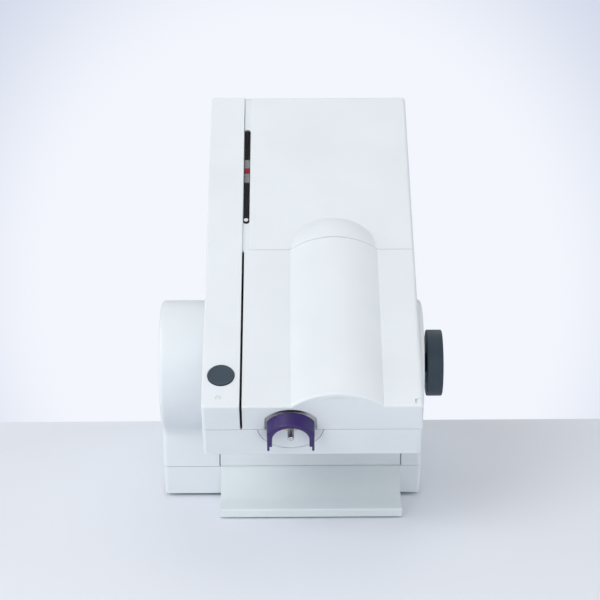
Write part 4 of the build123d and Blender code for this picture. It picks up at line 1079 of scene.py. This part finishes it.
class MIXER_OT_mains(bpy.types.Operator):
    """Makes the mains inlet and the power switch with its on and off marks"""

    bl_idname = "mixer.mains"
    bl_label = "Mains inlet and switch"

    def execute(self, context):
        fine = sizes().fine_edge
        for name, node in (("inlet_socket", "mains_inlet"), ("switch_bezel", "switch_frame")):
            rounded_copy(name, node, "housing", "black_plastic", lambda middle: fine)
        low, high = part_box("power_rocker")
        middle = (low + high) / 2
        rise = (high.z - low.z) / 4
        bar = [(-0.4, -2.2), (0.4, -2.2), (0.4, 2.2), (-0.4, 2.2)]
        self.mark("on_mark", [bar], middle.x, middle.z - rise)
        ring = []
        for i in range(32):
            first, second = 2 * pi * i / 32, 2 * pi * (i + 1) / 32
            ends = ((1.6, first), (2.3, first), (2.3, second), (1.6, second))
            ring.append([(r * cos(t), r * sin(t)) for r, t in ends])
        self.mark("off_mark", ring, middle.x, middle.z + rise)
        return {"FINISHED"}

    def mark(self, name, shapes, x, z):
        """A thin printed mark laid on the rocker's face."""
        rocker = merged("power_rocker")
        bmesh.ops.triangulate(rocker, faces=rocker.faces)
        face = BVHTree.FromBMesh(rocker)
        rocker.free()
        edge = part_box("power_rocker")[1].y
        bm = bmesh.new()
        for shape in shapes:
            rows = []
            for depth in (-0.06, 0.02):
                row = []
                for across, up in shape:
                    start = Vector((x + across * MM, 0.25, z + up * MM))
                    hit, _, _, _ = face.ray_cast(start, Vector((0, -1, 0)))
                    if hit is None:
                        raise RuntimeError("a switch mark misses the rocker")
                    row.append(bm.verts.new((hit.x, min(hit.y + depth * MM, edge), hit.z)))
                rows.append(row)
            strip_between(bm, *rows, closed=True)
            bm.faces.new(rows[0])
            bm.faces.new(rows[1])
        bmesh.ops.recalc_face_normals(bm, faces=bm.faces)
        place_piece(as_object(bm, name), "rocker", "light_lens")


class MIXER_OT_controls(bpy.types.Operator):
    """Makes the start button, the status light and the handwheel"""

    bl_idname = "mixer.controls"
    bl_label = "Controls"

    def execute(self, context):
        settings = sizes()
        dish = settings.button_dish / MM
        button = [(0, -6.5), (3.0, -6.5), (3.0, -4.7), (10.7, -4.7), (10.7, -3.3), (10.0, -3.3)]
        button += corner(0.4, 9.6, 0.5, 0)
        button += [(9.1, 0.86), (8.6, 0.72), *dome(8.6, 0.72, -dish, 8)]
        place = on_head(14.3, 31.0, 0)
        turned_piece("button_cap", place, OFF_SLOPE, button, "button", "slate_plastic", "start_button")
        light = [(0, -4.0), (2.0, -4.0), (2.0, -0.6), *dome(2.0, -0.6, 0.6)]
        place = on_head(12.7, 9.6, 0)
        turned_piece("light_dome", place, OFF_SLOPE, light, "housing", "light_lens", "status_light")
        self.turn_wheel()
        return {"FINISHED"}

    def turn_wheel(self):
        settings = sizes()
        low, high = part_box("handwheel")
        centre = Vector((low.x, (low.y + high.y) / 2, (low.z + high.z) / 2))
        radius = (high.y - low.y) / 2 / MM
        reach = (high.x - low.x) / MM
        collar = 8.0
        inner = reach - 13.0
        bend = settings.wheel_corner / MM
        dish = settings.wheel_dish / MM
        profile = [(5.0, 0), (collar, 0), (collar, inner)]
        profile += corner(bend, radius - bend, inner + bend, -1)
        profile += corner(bend, radius - bend, reach - bend, 0)
        lip = radius - 4.0
        profile += corner(0.5, lip + 0.2, reach - 0.5, 1, 3)
        profile += [(lip - 0.8, reach - dish), (9.0, reach - dish - 0.1), (8.6, reach - dish + 0.5)]
        profile += dome(8.6, reach - dish + 0.5, 0.5)
        turned_piece("wheel_rim", centre, ACROSS, profile, "wheel", "slate_plastic", "handwheel", facets=128)


PIECES = (
    MIXER_OT_stage,
    MIXER_OT_finishes,
    MIXER_OT_head_shells,
    MIXER_OT_cover,
    MIXER_OT_base_shells,
    MIXER_OT_lever,
    MIXER_OT_controls,
    MIXER_OT_gauge,
    MIXER_OT_mains,
    MIXER_OT_fasteners,
)


class MIXER_PT_panel(bpy.types.Panel):
    """Lists the mixer's operators with its sizes and colours"""

    bl_idname = "MIXER_PT_panel"
    bl_label = "Impression mixer"
    bl_space_type = "VIEW_3D"
    bl_region_type = "UI"
    bl_category = "Mixer"

    def draw(self, context):
        for piece in PIECES:
            self.layout.operator(piece.bl_idname)
        for group in (context.scene.mixer_sizes, context.scene.mixer_colours):
            for name in group.__annotations__:
                self.layout.prop(group, name)


CLASSES = (MixerColours, MixerSizes, *PIECES, MIXER_PT_panel)


def register():
    for kind in CLASSES:
        bpy.utils.register_class(kind)
    bpy.types.Scene.mixer_colours = PointerProperty(type=MixerColours)
    bpy.types.Scene.mixer_sizes = PointerProperty(type=MixerSizes)


def unregister():
    del bpy.types.Scene.mixer_sizes
    del bpy.types.Scene.mixer_colours
    for kind in reversed(CLASSES):
        bpy.utils.unregister_class(kind)


def main():
    register()
    bpy.ops.mixer.stage()
    bpy.ops.mixer.finishes()
    bpy.ops.mixer.head_shells()
    bpy.ops.mixer.cover()
    bpy.ops.mixer.base_shells()
    bpy.ops.mixer.lever()
    bpy.ops.mixer.controls()
    bpy.ops.mixer.gauge()
    bpy.ops.mixer.mains()
    bpy.ops.mixer.fasteners()


if __name__ == "__main__":
    main()
